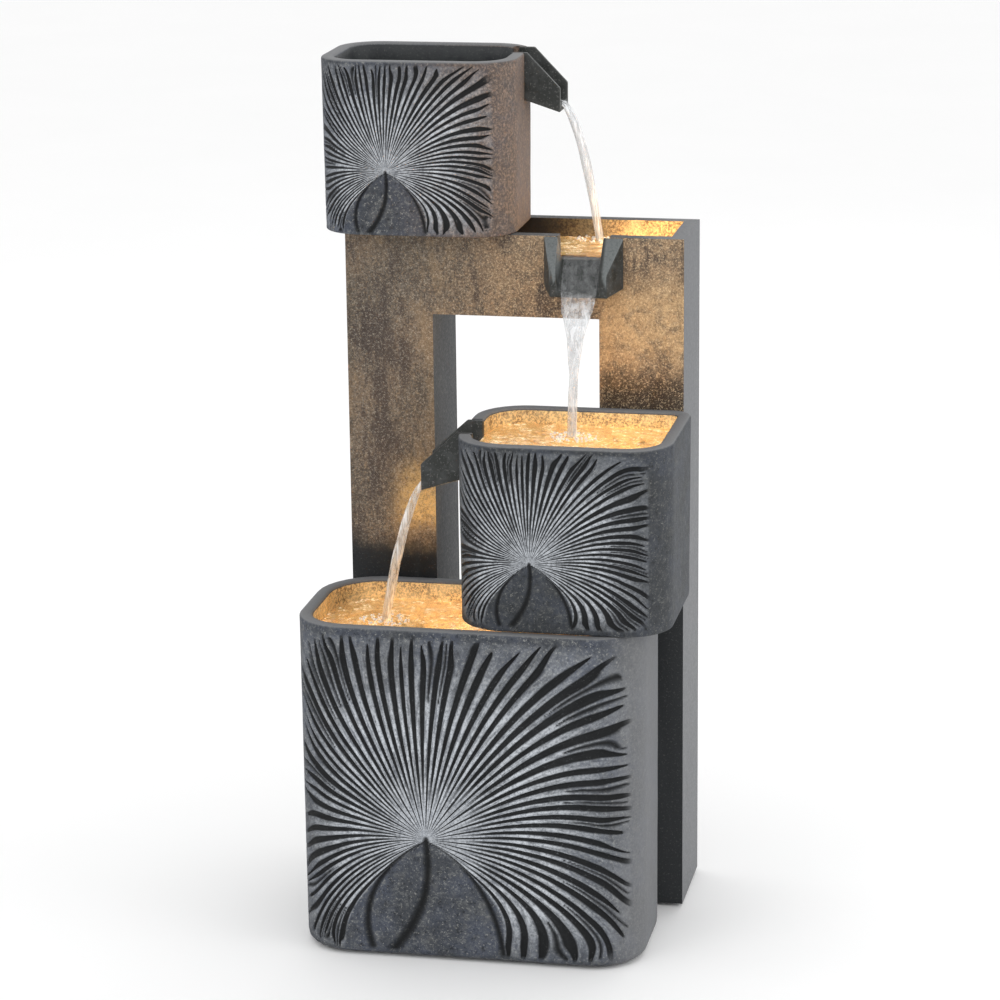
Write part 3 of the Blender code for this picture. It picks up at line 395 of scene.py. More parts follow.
def moulded(name, shade, roughness, fleck=0.12):
    """Moulded plastic or rubber with a fine leathery grain."""
    f = Finish(name)
    grain = f.speckle(1400.0, 2.0)
    wear = f.speckle(40.0, 4.0)
    lighter = tuple(min(1.0, part * 1.6 + 0.015) for part in shade)
    base = f.coats(shade, (wear, 0.35, 0.75, 0.3, lighter), (grain, 0.6, 0.75, fleck, (0.35, 0.35, 0.34)))
    f.bump(grain, 0.25, 0.3 * MM)
    return f.surface(Base_Color=base, Roughness=f.band(wear, 0.3, 0.7, roughness - 0.1, roughness + 0.1))


def brushed_steel(name):
    f = Finish(name)
    lines = f.speckle(500.0, 3.0, 0.6, (1, 1, 12))
    base = f.blend(lines, (0.42, 0.43, 0.44), (0.72, 0.72, 0.71))
    f.bump(lines, 0.15, 0.1 * MM)
    return f.surface(Base_Color=base, Metallic=1.0, Roughness=f.band(lines, 0.3, 0.7, 0.22, 0.42))


def lamp_lens(name):
    """A warm lit lens with a frosted grain."""
    tones = bpy.context.scene.fountain_colours
    f = Finish(name)
    frost = f.speckle(700.0, 2.0)
    base = f.blend(frost, (0.95, 0.75, 0.45), (1.0, 0.92, 0.75))
    light = f.blend(f.band(frost, 0.3, 0.7, 0.3, 1.0), tones.glow, (1.0, 0.86, 0.6))
    f.bump(frost, 0.3, 0.2 * MM)
    return f.surface(Base_Color=base, Roughness=0.25, Emission_Color=light, Emission_Strength=6.0)


def vinyl(name):
    f = Finish(name)
    cloud = f.speckle(60.0, 3.0)
    base = f.blend(cloud, (0.5, 0.56, 0.53), (0.68, 0.72, 0.7))
    f.bump(cloud, 0.2, 0.2 * MM)
    return f.surface(Base_Color=base, Roughness=f.band(cloud, 0.3, 0.7, 0.16, 0.34))


def falling_water(name, warm=0.0, film_above=9.0):
    """Clear streaked water: pale threads over a see-through body, and a thin film above a height. warm paints
    lamplight into it, as a gold colour between the threads.
    """
    tones = bpy.context.scene.fountain_colours
    f = Finish(name)
    threads = f.speckle(260.0, 3.0, 0.6, (1, 1, 0.08))
    ripple = f.speckle(120.0, 3.0, 0.5, (1, 1, 0.35))
    base = f.blend(f.band(threads, 0.42, 0.6), (0.62, 0.64, 0.66), tones.water)
    # painted lamplight: the lamp's gold glow painted between the threads
    base = f.blend(warm * f.band(threads, 0.6, 0.4, 0.4, 1.0), base, (1.0, 0.74, 0.42))
    alpha = f.band(threads, 0.4, 0.62, 0.32, 0.85)
    alpha = alpha * f.band(f.axis("Z"), film_above + 0.004, film_above - 0.03, 0.09, 1.0)
    f.bump(ripple * 0.6 + threads * 0.4, 0.6, 1.2 * MM)
    return f.surface(Base_Color=base, Roughness=0.06, Alpha=alpha, IOR=1.33, Specular_IOR_Level=0.8)


def basin_water(name, lamp, dark=False):
    """A basin's water, clear enough to show its lit walls, with painted lamplight: a gold base colour, a
    painted glow near its lamp, and painted glints for broken highlights. Where the basin has no lamp the water
    is dark.
    """
    tones = bpy.context.scene.fountain_colours
    f = Finish(name)
    ripple = f.speckle(95.0, 3.0, 0.55)
    glint = f.speckle(330.0, 2.0, 0.7)
    # painted glints: bright emission specks for the water's highlights
    shine = f.band(ripple, 0.52, 0.62) * f.band(glint, 0.5, 0.6)
    if dark:
        base = f.blend(ripple, (0.02, 0.024, 0.028), (0.06, 0.066, 0.072))
        f.bump(ripple, 0.4, 1.0 * MM)
        return f.surface(Base_Color=base, Roughness=0.05, Alpha=0.7)
    # painted lamplight: the water's gold colour and a glow near its lamp
    near = f.band(f.distance(lamp), 0.24, 0.03, 0.25, 1.0)
    base = f.blend(f.band(ripple, 0.36, 0.6), (0.48, 0.29, 0.085), (0.7, 0.49, 0.18))
    light = f.blend(near * 0.3, (0.0, 0.0, 0.0), tones.glow)
    light = f.blend(shine, light, (1.0, 0.9, 0.72))
    f.bump(ripple * 0.8 + glint * 0.2, 0.5, 1.5 * MM)
    return f.surface(Base_Color=base, Roughness=0.05, Alpha=f.band(ripple, 0.4, 0.6, 0.35, 0.6),
                     Emission_Color=light, Emission_Strength=1.0)


def white_foam(name):
    tones = bpy.context.scene.fountain_colours
    f = Finish(name)
    froth = f.speckle(500.0, 2.0)
    base = f.blend(froth, tones.water, (1.0, 0.96, 0.9))
    return f.surface(Base_Color=base, Roughness=0.08, Alpha=f.band(froth, 0.35, 0.6, 0.55, 0.95))


def studio_floor(name):
    f = Finish(name)
    cloud = f.speckle(3.0, 3.0)
    base = f.blend(cloud, (0.95, 0.95, 0.95), (0.98, 0.98, 0.98))
    return f.surface(Base_Color=base, Roughness=0.7)


# ---- mesh helpers -------------------------------------------------------------------------------
def place_piece(name, mesh, finish, body=ROOT, replaced=()):
    """Links a finished piece at the origin, attaches it to the body it rides on, and hides the nodes it stands
    for.
    """
    piece = bpy.data.objects.new(name, mesh)
    bpy.context.scene.collection.objects.link(piece)
    if finish:
        mesh.materials.clear()
        mesh.materials.append(finish)
    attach(piece, body)
    if replaced:
        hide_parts(*replaced)
    return piece


def rounded_outline(lo, hi, radii, flat_steps, arc_steps):
    """Points anticlockwise round a rounded oblong from the front's left end.

    radii and arc_steps are for front left, front right, back right and back left; flat_steps are for the
    front, right, back and left runs.
    """
    (x0, y0), (x1, y1) = lo, hi
    corners = [((x1, y0), radii[1], -90), ((x1, y1), radii[2], 0), ((x0, y1), radii[3], 90),
               ((x0, y0), radii[0], 180)]
    inward = [(-1, 1), (-1, -1), (1, -1), (1, 1)]
    steps = (arc_steps[1], arc_steps[2], arc_steps[3], arc_steps[0])
    arcs = []
    for ((cx, cy), radius, start), (sx, sy), count in zip(corners, inward, steps):
        centre = np.array((cx + sx * radius, cy + sy * radius))
        angles = np.radians(start + 90 * np.arange(count + 1) / count)
        arcs.append(centre + radius * np.stack([np.cos(angles), np.sin(angles)], 1))
    points = []
    for side in range(4):
        begin = arcs[side - 1][-1]
        end = arcs[side][0]
        run = np.arange(1, flat_steps[side]) / flat_steps[side]
        points.extend(begin + (end - begin) * t for t in run)
        points.extend(arcs[side])
    return np.array(points)


def outward(points):
    """Unit normals of a closed anticlockwise outline."""
    along = np.roll(points, -1, 0) - np.roll(points, 1, 0)
    normal = np.stack([along[:, 1], -along[:, 0]], 1)
    return normal / np.linalg.norm(normal, axis=1, keepdims=True)


def smooth_ramp(value, low, high):
    t = np.clip((value - low) / (high - low), 0.0, 1.0)
    return t * t * (3 - 2 * t)


# ---- leaf relief --------------------------------------------------------------------------------
# the fan's spread and how far each blade turns by its tip, in degrees clockwise from straight up
FAN = (-127.0, 124.0)
# the stem and the edges of the two lobes beside it: a curve in panel heights from the hub, its half width
# at the hub and how much that grows
LOBES = (
    (((0, 0), (0.015, -0.14), (0.0, -0.24), (-0.125, -0.385)), 0.012, 0.01),
    (((0, -0.005), (-0.12, -0.07), (-0.22, -0.2), (-0.17, -0.35)), 0.003, 0.014),
    (((0, -0.005), (0.13, -0.06), (0.22, -0.2), (0.235, -0.37)), 0.003, 0.011),
)
TURN_AT = (-127, -108, -92, -76, -58, -35, 0, 35, 60, 85, 105, 124)
TURN_BY = (-17, -24, -17, -3, 7, 9, 2, 10, 13, 11, 16, 24)


def distance_to_path(a, b, path):
    """How far each (a, b) is from a path, and how far along the path its nearest point is, 0 to 1."""
    best = np.full(a.shape, 1e9)
    along = np.zeros(a.shape)
    runs = len(path) - 1
    for index in range(runs):
        start = np.array(path[index])
        step = np.array(path[index + 1]) - start
        t = ((a - start[0]) * step[0] + (b - start[1]) * step[1]) / step.dot(step)
        t = np.clip(t, 0, 1)
        away = np.hypot(a - start[0] - t * step[0], b - start[1] - t * step[1])
        nearer = away < best
        best = np.where(nearer, away, best)
        along = np.where(nearer, (index + t) / runs, along)
    return best, along


def bezier(points, steps=24):
    """Points along one cubic curve."""
    p = [np.array(point, float) for point in points]
    t = (np.arange(steps + 1) / steps)[:, None]
    return ((1 - t) ** 3 * p[0] + 3 * (1 - t) ** 2 * t * p[1] + 3 * (1 - t) * t ** 2 * p[2] + t ** 3 * p[3])


def hub_of(panel):
    """Where a panel's blades meet."""
    x0, z0, x1, z1 = panel
    return (x0 + 0.395 * (x1 - x0), z0 + 0.368 * (z1 - z0))


def blades_per_degree():
    return bpy.context.scene.fountain_sizes.blades / (FAN[1] - FAN[0])


def reach_of(angle, panel, hub):
    """Distance from the hub to the panel's softened outline in each direction."""
    x0, z0, x1, z1 = panel
    ray = np.radians(angle)
    right = (np.clip(np.sin(ray) * 6, -1, 1) + 1) / 2
    high = (np.clip(np.cos(ray) * 6, -1, 1) + 1) / 2
    across = (right * (x1 - hub[0]) + (1 - right) * (hub[0] - x0)) / np.maximum(np.abs(np.sin(ray)), 0.02)
    upright = (high * (z1 - hub[1]) + (1 - high) * (hub[1] - z0)) / np.maximum(np.abs(np.cos(ray)), 0.02)
    return (across ** -9 + upright ** -9) ** (-1 / 9)


def straightened(angle, t):
    """The direction in which the blade through each point leaves the hub, found by halving."""
    low = np.full(angle.shape, -200.0)
    high = np.full(angle.shape, 200.0)
    for _ in range(24):
        middle = (low + high) / 2
        beyond = middle + np.interp(middle, TURN_AT, TURN_BY) * t ** 2 > angle
        high = np.where(beyond, middle, high)
        low = np.where(beyond, low, middle)
    return (low + high) / 2


def leaf_relief(x, z, panel, seed, pitch):
    """The fan leaf at each (x, z) of a panel (x0, z0, x1, z1), as a dictionary of fields.

    blade counts the grooves from the fan's left, so each whole number is a groove's centre; gap is a groove's
    half width as a share of the pitch; run goes from 0 at the hub to 1 at the tips; fan is 1 on the leaf;
    groove holds the stem and the forks; depth is the carving's share of full depth. Near the hub, where the
    blades are finer than the mesh's pitch can hold, the finish alone draws them.
    """
    hub = hub_of(panel)
    height = panel[3] - panel[1]
    away = np.hypot(x - hub[0], z - hub[1]) + 1e-6
    angle = np.degrees(np.arctan2(x - hub[0], z - hub[1]))
    run = away / reach_of(angle, panel, hub)
    phi = straightened(angle, np.clip(run, 0, 1.1))
    blades = bpy.context.scene.fountain_sizes.blades
    rng = np.random.default_rng(seed)
    numbers = np.arange(-1, blades + 2)
    sway = rng.uniform(-0.26, 0.26, len(numbers))
    hook = rng.uniform(-0.75, 0.75, len(numbers))
    tip = rng.uniform(0.95, 1.05, len(numbers))
    wide = rng.uniform(0.8, 1.2, len(numbers))
    forked = rng.uniform(0, 1, len(numbers)) < 0.34
    u = (phi - FAN[0]) * blades_per_degree()
    moved = np.interp(u, numbers, sway) * run ** 2
    moved = moved + np.interp(u, numbers, hook) * smooth_ramp(run, 0.8, 1.0) ** 2
    blade = u - moved
    nearest = np.clip(np.round(blade).astype(int) + 1, 0, len(numbers) - 1)
    taper = np.sqrt(np.clip((tip[nearest] - run) / 0.16, 0, 1))
    gap = (0.25 + 0.03 * run) * np.interp(u, numbers, wide) * taper
    fan = smooth_ramp(u, -0.55, -0.3) * smooth_ramp(-u, -blades - 0.55, -blades - 0.3)
    from_groove = np.abs(blade - np.round(blade))
    carved = np.clip(1 - (from_groove / np.maximum(gap * 1.3, 1e-4)) ** 2, 0, 1) * (gap > 0.02)
    between = np.clip(np.floor(blade).astype(int) + 1, 0, len(numbers) - 1)
    narrow = 0.17 * smooth_ramp(run, 0.62, 0.8) * np.sqrt(np.clip((0.99 - run) / 0.1, 0, 1)) * forked[between]
    fork = np.clip(1 - (np.abs(blade - np.floor(blade) - 0.5) / np.maximum(narrow, 1e-4)) ** 2, 0, 1)
    fork *= (narrow > 0.04) * fan
    stem = np.zeros(x.shape)
    for points, start, grow in LOBES:
        off, along = distance_to_path((x - hub[0]) / height, (z - hub[1]) / height, bezier(points))
        stem = np.maximum(stem, np.clip(1 - (off / (start + grow * along)) ** 2, 0, 1))
    leaf = fan * smooth_ramp(-run, -1.04, -0.96)
    spacing = away * math.radians(1) / blades_per_degree()
    deep = np.maximum(carved * fan * smooth_ramp(spacing, 2.2 * pitch, 4.2 * pitch), fork)
    deep = np.maximum(deep, stem)
    low_ground = 1 - leaf * smooth_ramp(away, 0.02 * height, 0.2 * height)
    return {"blade": blade, "gap": gap, "run": run, "fan": leaf, "groove": np.maximum(stem, fork),
            "depth": 0.78 * deep + 0.22 * low_ground * (1 - stem)}


# ---- cast tanks ---------------------------------------------------------------------------------
class Tank:
    """What the looks need of one tank: its node, corner radii, relief panel, lamp and openings."""

    def __init__(self, name, radii, draft, pitch, margins, seed, openings, side_tone, lamp=None,
                 shade=0.0, warm_light_and_bronze=None):
        """margins are from the tank's left, foot, right and rim to its relief panel."""
        self.name = name
        self.radii = radii
        self.draft = draft
        self.pitch = pitch
        self.seed = seed
        self.openings = openings
        self.side_tone = side_tone
        self.lamp = lamp and centre_of(lamp)
        self.shade = shade
        self.lo, self.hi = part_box(name)
        # where the painted warm lamplight and bronze start on the tank's right side, measured from its left
        self.warm_light_and_bronze = warm_light_and_bronze and (self.lo.x + warm_light_and_bronze, self.hi.x)
        left, foot, right, rim = margins
        self.panel = (self.lo.x + left, self.lo.z + foot, self.hi.x - right, self.hi.z - rim)

    def outline(self, inset, coarse=False):
        """The tank's plan, drawn in by an inset, with the same number of points for every inset."""
        least = 1.5 * MM if inset < 10 * MM else 8 * MM
        radii = [max(radius - inset, least) for radius in self.radii]
        pitch = 6 * MM if coarse else self.pitch
        width = self.hi.x - self.lo.x
        front = round((width - self.radii[0] - self.radii[1]) / pitch)
        arcs = [round(radius * math.pi / 2 / pitch) for radius in self.radii]
        sparse = 10 * MM
        depth = self.hi.y - self.lo.y
        flats = (front, round(depth / sparse), round(width / sparse), round(depth / sparse))
        steps = (arcs[0], arcs[1], 8, 8)
        low = (self.lo.x + inset, self.lo.y + inset)
        high = (self.hi.x - inset, self.hi.y - inset)
        return rounded_outline(low, high, radii, flats, steps)


def tank_rows(tank):
    """The wall's profile from the foot, up the outside, over the rim and down to the inner floor.

    Each row is (inset from the outer plan, height, whether it is on the outer wall).
    """
    sizes = bpy.context.scene.fountain_sizes
    fillet = 6 * MM if tank.lo.z < 10 * MM else 1.2 * MM
    rim = sizes.rim_round
    quarter = [math.pi / 2 * step / 3 for step in range(4)]
    rows = [(fillet * (1 - math.sin(t)), tank.lo.z + fillet * (1 - math.cos(t)), True) for t in quarter]
    count = round((tank.hi.z - rim - rows[-1][1]) / tank.pitch)
    start, stop = rows[-1][1], tank.hi.z - rim
    rows += [(0.0, start + (stop - start) * step / count, True) for step in range(1, count + 1)]
    rows += [(rim * (1 - math.cos(t)), stop + rim * math.sin(t), True) for t in quarter[1:]]
    wall = sizes.wall
    rows += [(wall - rim * math.sin(math.pi / 2 - t), stop + rim * math.cos(t), False) for t in quarter]
    inner_foot = tank.lo.z + sizes.floor
    count = 10
    drop = inner_foot + 4 * MM - stop
    rows += [(wall, stop + drop * step / count, False) for step in range(1, count + 1)]
    rows += [(wall + 4 * MM, inner_foot, False)]
    return rows


FIELDS = ("bend", "gap", "run", "fan", "groove", "plain")


def cast_tank_mesh(tank, sizes):
    """The tank as one closed skin: rows of its plan up the outside, over the rim and down the inside."""
    rows = tank_rows(tank)
    grid = []
    values = []
    plans = {}
    scale = ((tank.hi.z - tank.lo.z) / 0.323) ** 0.5
    middle = (tank.lo.x + tank.hi.x) / 2
    x0, z0, x1, z1 = tank.panel
    for inset, z, outer in rows:
        key = round(inset, 7)
        if key not in plans:
            plans[key] = tank.outline(inset)
        plan = plans[key].copy()
        share = (tank.hi.z - z) / (tank.hi.z - tank.lo.z)
        plan[:, 0] = middle + (plan[:, 0] - middle) * (1 - tank.draft * share / (tank.hi.x - middle))
        fields = {name: np.zeros(len(plan)) for name in FIELDS}
        if outer:
            normal = outward(plans[key])
            leaf = leaf_relief(plan[:, 0], np.full(len(plan), z), tank.panel, tank.seed,
                               tank.pitch)
            edge = 3 * MM
            on = smooth_ramp(-normal[:, 1], 0.04, 0.2)
            on *= smooth_ramp(plan[:, 0], x0, x0 + edge) * smooth_ramp(-plan[:, 0], -x1, edge - x1)
            on *= smooth_ramp(z, z0, z0 + edge) * smooth_ramp(-z, -z1, edge - z1)
            waves = np.array([noise.noise(Vector((px, py, z)) * 26) for px, py in plan])
            sunk = leaf["depth"] * on * sizes.leaf_depth * scale + 0.15 * MM + np.abs(waves) * 0.3 * MM
            plan -= normal * sunk[:, None]
            hub = hub_of(tank.panel)
            angle = np.degrees(np.arctan2(plan[:, 0] - hub[0], z - hub[1]))
            fields.update({name: leaf[name] for name in ("gap", "run")})
            fields["bend"] = leaf["blade"] - angle * blades_per_degree()
            fields.update({name: leaf[name] * on for name in ("fan", "groove")})
            sideways = smooth_ramp(normal[:, 0], 0.25, 0.9) * tank.side_tone
            top = smooth_ramp(z, tank.hi.z - 1.4 * MM, tank.hi.z - 0.4 * MM)
            behind = smooth_ramp(normal[:, 1], -0.1, 0.9) * 0.6
            fields["plain"] = np.maximum(np.maximum(sideways, behind), top)
        elif inset < sizes.wall - 1e-6:
            fields["plain"] = np.ones(len(plan))
        grid.append(np.column_stack([plan, np.full(len(plan), z)]))
        values.append(np.column_stack([fields[name] for name in FIELDS]))
    columns = len(grid[0])
    vertices = np.concatenate(grid)
    faces = []
    for row in range(len(rows) - 1):
        low, high = row * columns, (row + 1) * columns
        faces.extend((low + i, low + (i + 1) % columns, high + (i + 1) % columns, high + i)
                     for i in range(columns))
    last = (len(rows) - 1) * columns
    faces.append(tuple(range(columns - 1, -1, -1)))
    faces.append(tuple(last + i for i in range(columns)))
    mesh = bpy.data.meshes.new(tank.name + "_cast")
    mesh.from_pydata(vertices.tolist(), [], faces)
    layers = np.concatenate(values).astype(np.float32)
    for index, name in enumerate(FIELDS):
        layer = mesh.attributes.new(name, "FLOAT", "POINT")
        layer.data.foreach_set("value", np.ascontiguousarray(layers[:, index]))
    inner = [row for row, entry in enumerate(rows) if not entry[2] and entry[0] >= sizes.wall - 1e-6]
    inside = np.zeros(len(mesh.polygons), dtype=np.int32)
    inside[inner[0] * columns:] = 1
    inside[len(faces) - 2] = 0
    mesh.polygons.foreach_set("material_index", inside)
    mesh.shade_smooth()
    return mesh


def opening_cutter(openings):
    """One closed mesh of all of a tank's openings: boxes (lo, hi) and tubes (centre, axis, radius)."""
    bm = bmesh.new()
    for kind, first, second, radius in openings:
        if kind == "box":
            made = bmesh.ops.create_cube(bm, size=1.0)["verts"]
            bmesh.ops.scale(bm, vec=second - first, verts=made)
            bmesh.ops.translate(bm, vec=(first + second) / 2, verts=made)
        else:
            turn = second.to_track_quat("Z", "Y").to_matrix().to_4x4()
            bmesh.ops.create_cone(bm, cap_ends=True, segments=28, radius1=radius, radius2=radius,
                                  depth=60 * MM, matrix=Matrix.Translation(first) @ turn)
    mesh = bpy.data.meshes.new("openings")
    bm.to_mesh(mesh)
    bm.free()
    cutter = bpy.data.objects.new("openings", mesh)
    bpy.context.scene.collection.objects.link(cutter)
    return cutter


def applied(piece):
    """The piece's evaluated mesh, as a plain mesh of its own."""
    bpy.context.view_layer.update()
    graph = bpy.context.evaluated_depsgraph_get()
    return bpy.data.meshes.new_from_object(piece.evaluated_get(graph))


def carve(mesh, openings):
    """A mesh with its openings cut through."""
    block = bpy.data.objects.new("block", mesh)
    bpy.context.scene.collection.objects.link(block)
    cutter = opening_cutter(openings)
    cut = block.modifiers.new("openings", "BOOLEAN")
    cut.operation = "DIFFERENCE"
    cut.solver = "EXACT"
    cut.object = cutter
    result = applied(block)
    bpy.data.objects.remove(block)
    bpy.data.objects.remove(cutter)
    return result


def spout_opening(node, tank_name):
    """The box a side spout takes out of its tank's wall."""
    spout_lo, spout_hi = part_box(node)
    tank_lo, tank_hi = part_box(tank_name)
    gap = 0.3 * MM
    low_z = tank_hi.z - 45 * MM - gap
    over = 8 * MM
    if spout_hi.x > tank_hi.x:
        x0, x1 = spout_lo.x - over, tank_hi.x + over
    else:
        x0, x1 = tank_lo.x - over, spout_hi.x + over
    return ("box", Vector((x0, spout_lo.y - gap, low_z)), Vector((x1, spout_hi.y + gap, tank_hi.z + over)), 0)


def centre_of(node):
    lo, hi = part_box(node)
    return (lo + hi) / 2


def bore(node, axis, radius):
    return ("tube", centre_of(node), Vector(axis), radius)


def fountain_tanks(sizes):
    """The three tanks, with relief panels measured from their own boxes."""
    back = (0, 1, 0)
    fine = sizes.leaf_pitch * 0.8
    lower = [bore("hose_grommet", back, 8.4 * MM), bore("cable_grommet", back, 5.4 * MM),
             bore("lower_light_nut", back, 5.3 * MM), bore("drain_plug", (1, 0, 0), 8 * MM)]
    middle = [bore("middle_light_nut", back, 5.3 * MM), spout_opening("middle_spout", "middle_tank"),
              bore("tank_bolt_1", back, 2.6 * MM), bore("tank_bolt_2", back, 2.6 * MM)]
    upper = [bore("inlet_nut", (0, 0, 1), 7.3 * MM), spout_opening("upper_spout", "upper_tank")]
    return [
        Tank("lower_tank", (50 * MM, 50 * MM, 62 * MM, 62 * MM), 0.6 * MM, sizes.leaf_pitch,
             (1 * MM, 2 * MM, 9 * MM, 7 * MM), 3, lower, 0.72, "lower_light_lens"),
        Tank("middle_tank", (48 * MM, 44 * MM, 20 * MM, 48 * MM), 1.2 * MM, fine,
             (1 * MM, 3.5 * MM, 17 * MM, 3 * MM), 8, middle, 0.06, "middle_light_lens", 0.4),
        # the upper tank takes painted warm lamplight and bronze towards its right side
        Tank("upper_tank", (41 * MM,) * 4, 1.3 * MM, fine,
             (1 * MM, 0.5 * MM, 17 * MM, 2 * MM), 14, upper, 0.15, warm_light_and_bronze=60 * MM),
    ]


# ---- softened cast and moulded pieces -----------------------------------------------------------
def softened_mesh(node, width, segments=2):
    """A merged copy of a node's mesh with its edges rounded."""
    bm = bmesh.new()
    bm.from_mesh(frame["nodes"][node].data)
    bmesh.ops.remove_doubles(bm, verts=bm.verts, dist=0.02 * MM)
    bmesh.ops.dissolve_limit(bm, angle_limit=math.radians(1), verts=bm.verts, edges=bm.edges)
    mesh = bpy.data.meshes.new(node + "_soft")
    bm.to_mesh(mesh)
    bm.free()
    mesh.materials.clear()
    mesh.shade_smooth()
    block = bpy.data.objects.new(node + "_block", mesh)
    bpy.context.scene.collection.objects.link(block)
    bevel = block.modifiers.new("edges", "BEVEL")
    bevel.width = width
    bevel.segments = segments
    bevel.limit_method = "ANGLE"
    bevel.angle_limit = math.radians(40)
    bevel.use_clamp_overlap = True
    bevel.harden_normals = True
    result = applied(block)
    bpy.data.objects.remove(block)
    return result


# ---- water --------------------------------------------------------------------------------------
def ribbon_mesh(name, path, half_widths, thicknesses, across, seed):
    """A streaked sheet of water: oval sections along a path, with flutes that run down it."""
    sides = 36
    vertices = []
    across = Vector(across)
    rows = len(path)
    for row, (point, half, half_thickness) in enumerate(zip(path, half_widths, thicknesses)):
        ahead = path[min(row + 1, rows - 1)] - path[max(row - 1, 0)]
        through = ahead.cross(across).normalized()
        for side in range(sides):
            turn = math.tau * side / sides
            flute = noise.noise(Vector((math.cos(turn) * 3 + seed, math.sin(turn) * 3, point.z * 9)))
            swell = noise.noise(Vector((seed * 2, turn * 0.3, point.z * 45)))
            grow = 1 + 0.3 * flute + 0.1 * swell
            offset = across * half * math.cos(turn) * (1 + 0.12 * swell)
            vertices.append(point + offset + through * half_thickness * math.sin(turn) * grow)
    faces = []
    for row in range(rows - 1):
        low, high = row * sides, (row + 1) * sides
        faces.extend((low + i, low + (i + 1) % sides, high + (i + 1) % sides, high + i) for i in range(sides))
    faces.append(tuple(range(sides - 1, -1, -1)))
    faces.append(tuple((rows - 1) * sides + i for i in range(sides)))
    mesh = bpy.data.meshes.new(name)
    mesh.from_pydata(vertices, [], faces)
    bm = bmesh.new()
    bm.from_mesh(mesh)
    bmesh.ops.recalc_face_normals(bm, faces=bm.faces)
    bm.to_mesh(mesh)
    bm.free()
    mesh.shade_smooth()
    return mesh


def fall(start, end, steps=60, lean=1.0):
    """A falling jet's path: steady sideways, faster and faster downwards."""
    points = []
    for step in range(steps + 1):
        t = step / steps
        drop = 0.25 * t + 0.75 * t * t
        points.append(Vector((start.x + (end.x - start.x) * t ** lean,
                              start.y + (end.y - start.y) * t ** lean,
                              start.z + (end.z - start.z) * drop)))
    return points


def widths(path, stops):
    """Half widths along a path, from (share of the way, half width) stops."""
    share = np.linspace(0, 1, len(path))
    return np.interp(share, [stop[0] for stop in stops], [stop[1] for stop in stops])


def pool_mesh(name, plan, level, hit, depth=3 * MM):
    """A sheet of water that fills a plan, with rings that spread from where the stream lands."""
    rings = 64
    count = len(plan)
    centre = np.array((hit.x, hit.y))
    vertices = [(hit.x, hit.y, level)]
    for ring in range(1, rings + 1):
        share = ring / rings
        for px, py in centre + (plan - centre) * share:
            away = math.hypot(px - hit.x, py - hit.y)
            wave = math.sin(away * 620) * 0.9 * MM * math.exp(-away / 0.045)
            chop = noise.noise(Vector((px, py, level)) * 70) * 0.7 * MM
            calm = 1 - share ** 6
            vertices.append((px, py, level + (wave + chop) * calm))
    below = len(vertices)
    vertices.extend((px, py, level - depth) for px, py in plan)
    faces = [(0, 1 + i, 1 + (i + 1) % count) for i in range(count)]
    for ring in range(rings - 1):
        low, high = 1 + ring * count, 1 + (ring + 1) * count
        faces.extend((low + i, high + i, high + (i + 1) % count, low + (i + 1) % count) for i in range(count))
    edge = 1 + (rings - 1) * count
    faces.extend((edge + i, below + i, below + (i + 1) % count, edge + (i + 1) % count) for i in range(count))
    faces.append(tuple(below + i for i in range(count - 1, -1, -1)))
    mesh = bpy.data.meshes.new(name)
    mesh.from_pydata(vertices, [], faces)
    mesh.shade_smooth()
    return mesh


# ---- geometry nodes -----------------------------------------------------------------------------
class Tree:
    """A Geometry Nodes tree with named inputs."""

    def __init__(self, name, inputs):
        self.tree = bpy.data.node_groups.new(name, "GeometryNodeTree")
        self.sockets = {}
        face = self.tree.interface
        face.new_socket("Geometry", in_out="INPUT", socket_type="NodeSocketGeometry")
        for label, kind in inputs:
            made = face.new_socket(label, in_out="INPUT", socket_type=kind)
            self.sockets[label] = made.identifier
        face.new_socket("Geometry", in_out="OUTPUT", socket_type="NodeSocketGeometry")
        self.entry = self.tree.nodes.new("NodeGroupInput")
        self.exit = self.tree.nodes.new("NodeGroupOutput")

    def node(self, kind, settings=None, inputs=None):
        made = self.tree.nodes.new(kind)
        for key, value in (settings or {}).items():
            setattr(made, key, value)
        for key, value in (inputs or {}).items():
            if isinstance(value, bpy.types.NodeSocket):
                self.tree.links.new(value, made.inputs[key])
            else:
                made.inputs[key].default_value = value
        return made

    def end(self, geometry):
        """Realizes the instances, gives them the material and closes the tree."""
        real = self.node("GeometryNodeRealizeInstances", {}, {"Geometry": geometry})
        done = self.node("GeometryNodeSetMaterial", {}, {"Geometry": real.outputs[0],
                                                        "Material": self.entry.outputs["Material"]})
        self.tree.links.new(done.outputs[0], self.exit.inputs["Geometry"])

    def run(self, name, source, values):
        """The plain mesh that the tree makes of a source mesh or curve."""
        guide = bpy.data.objects.new(name + "_guide", source)
        bpy.context.scene.collection.objects.link(guide)
        modifier = guide.modifiers.new(name, "NODES")
        modifier.node_group = self.tree
        for label, value in values.items():
            modifier[self.sockets[label]] = value
        mesh = applied(guide)
        bpy.data.objects.remove(guide)
        mesh.name = name
        return mesh


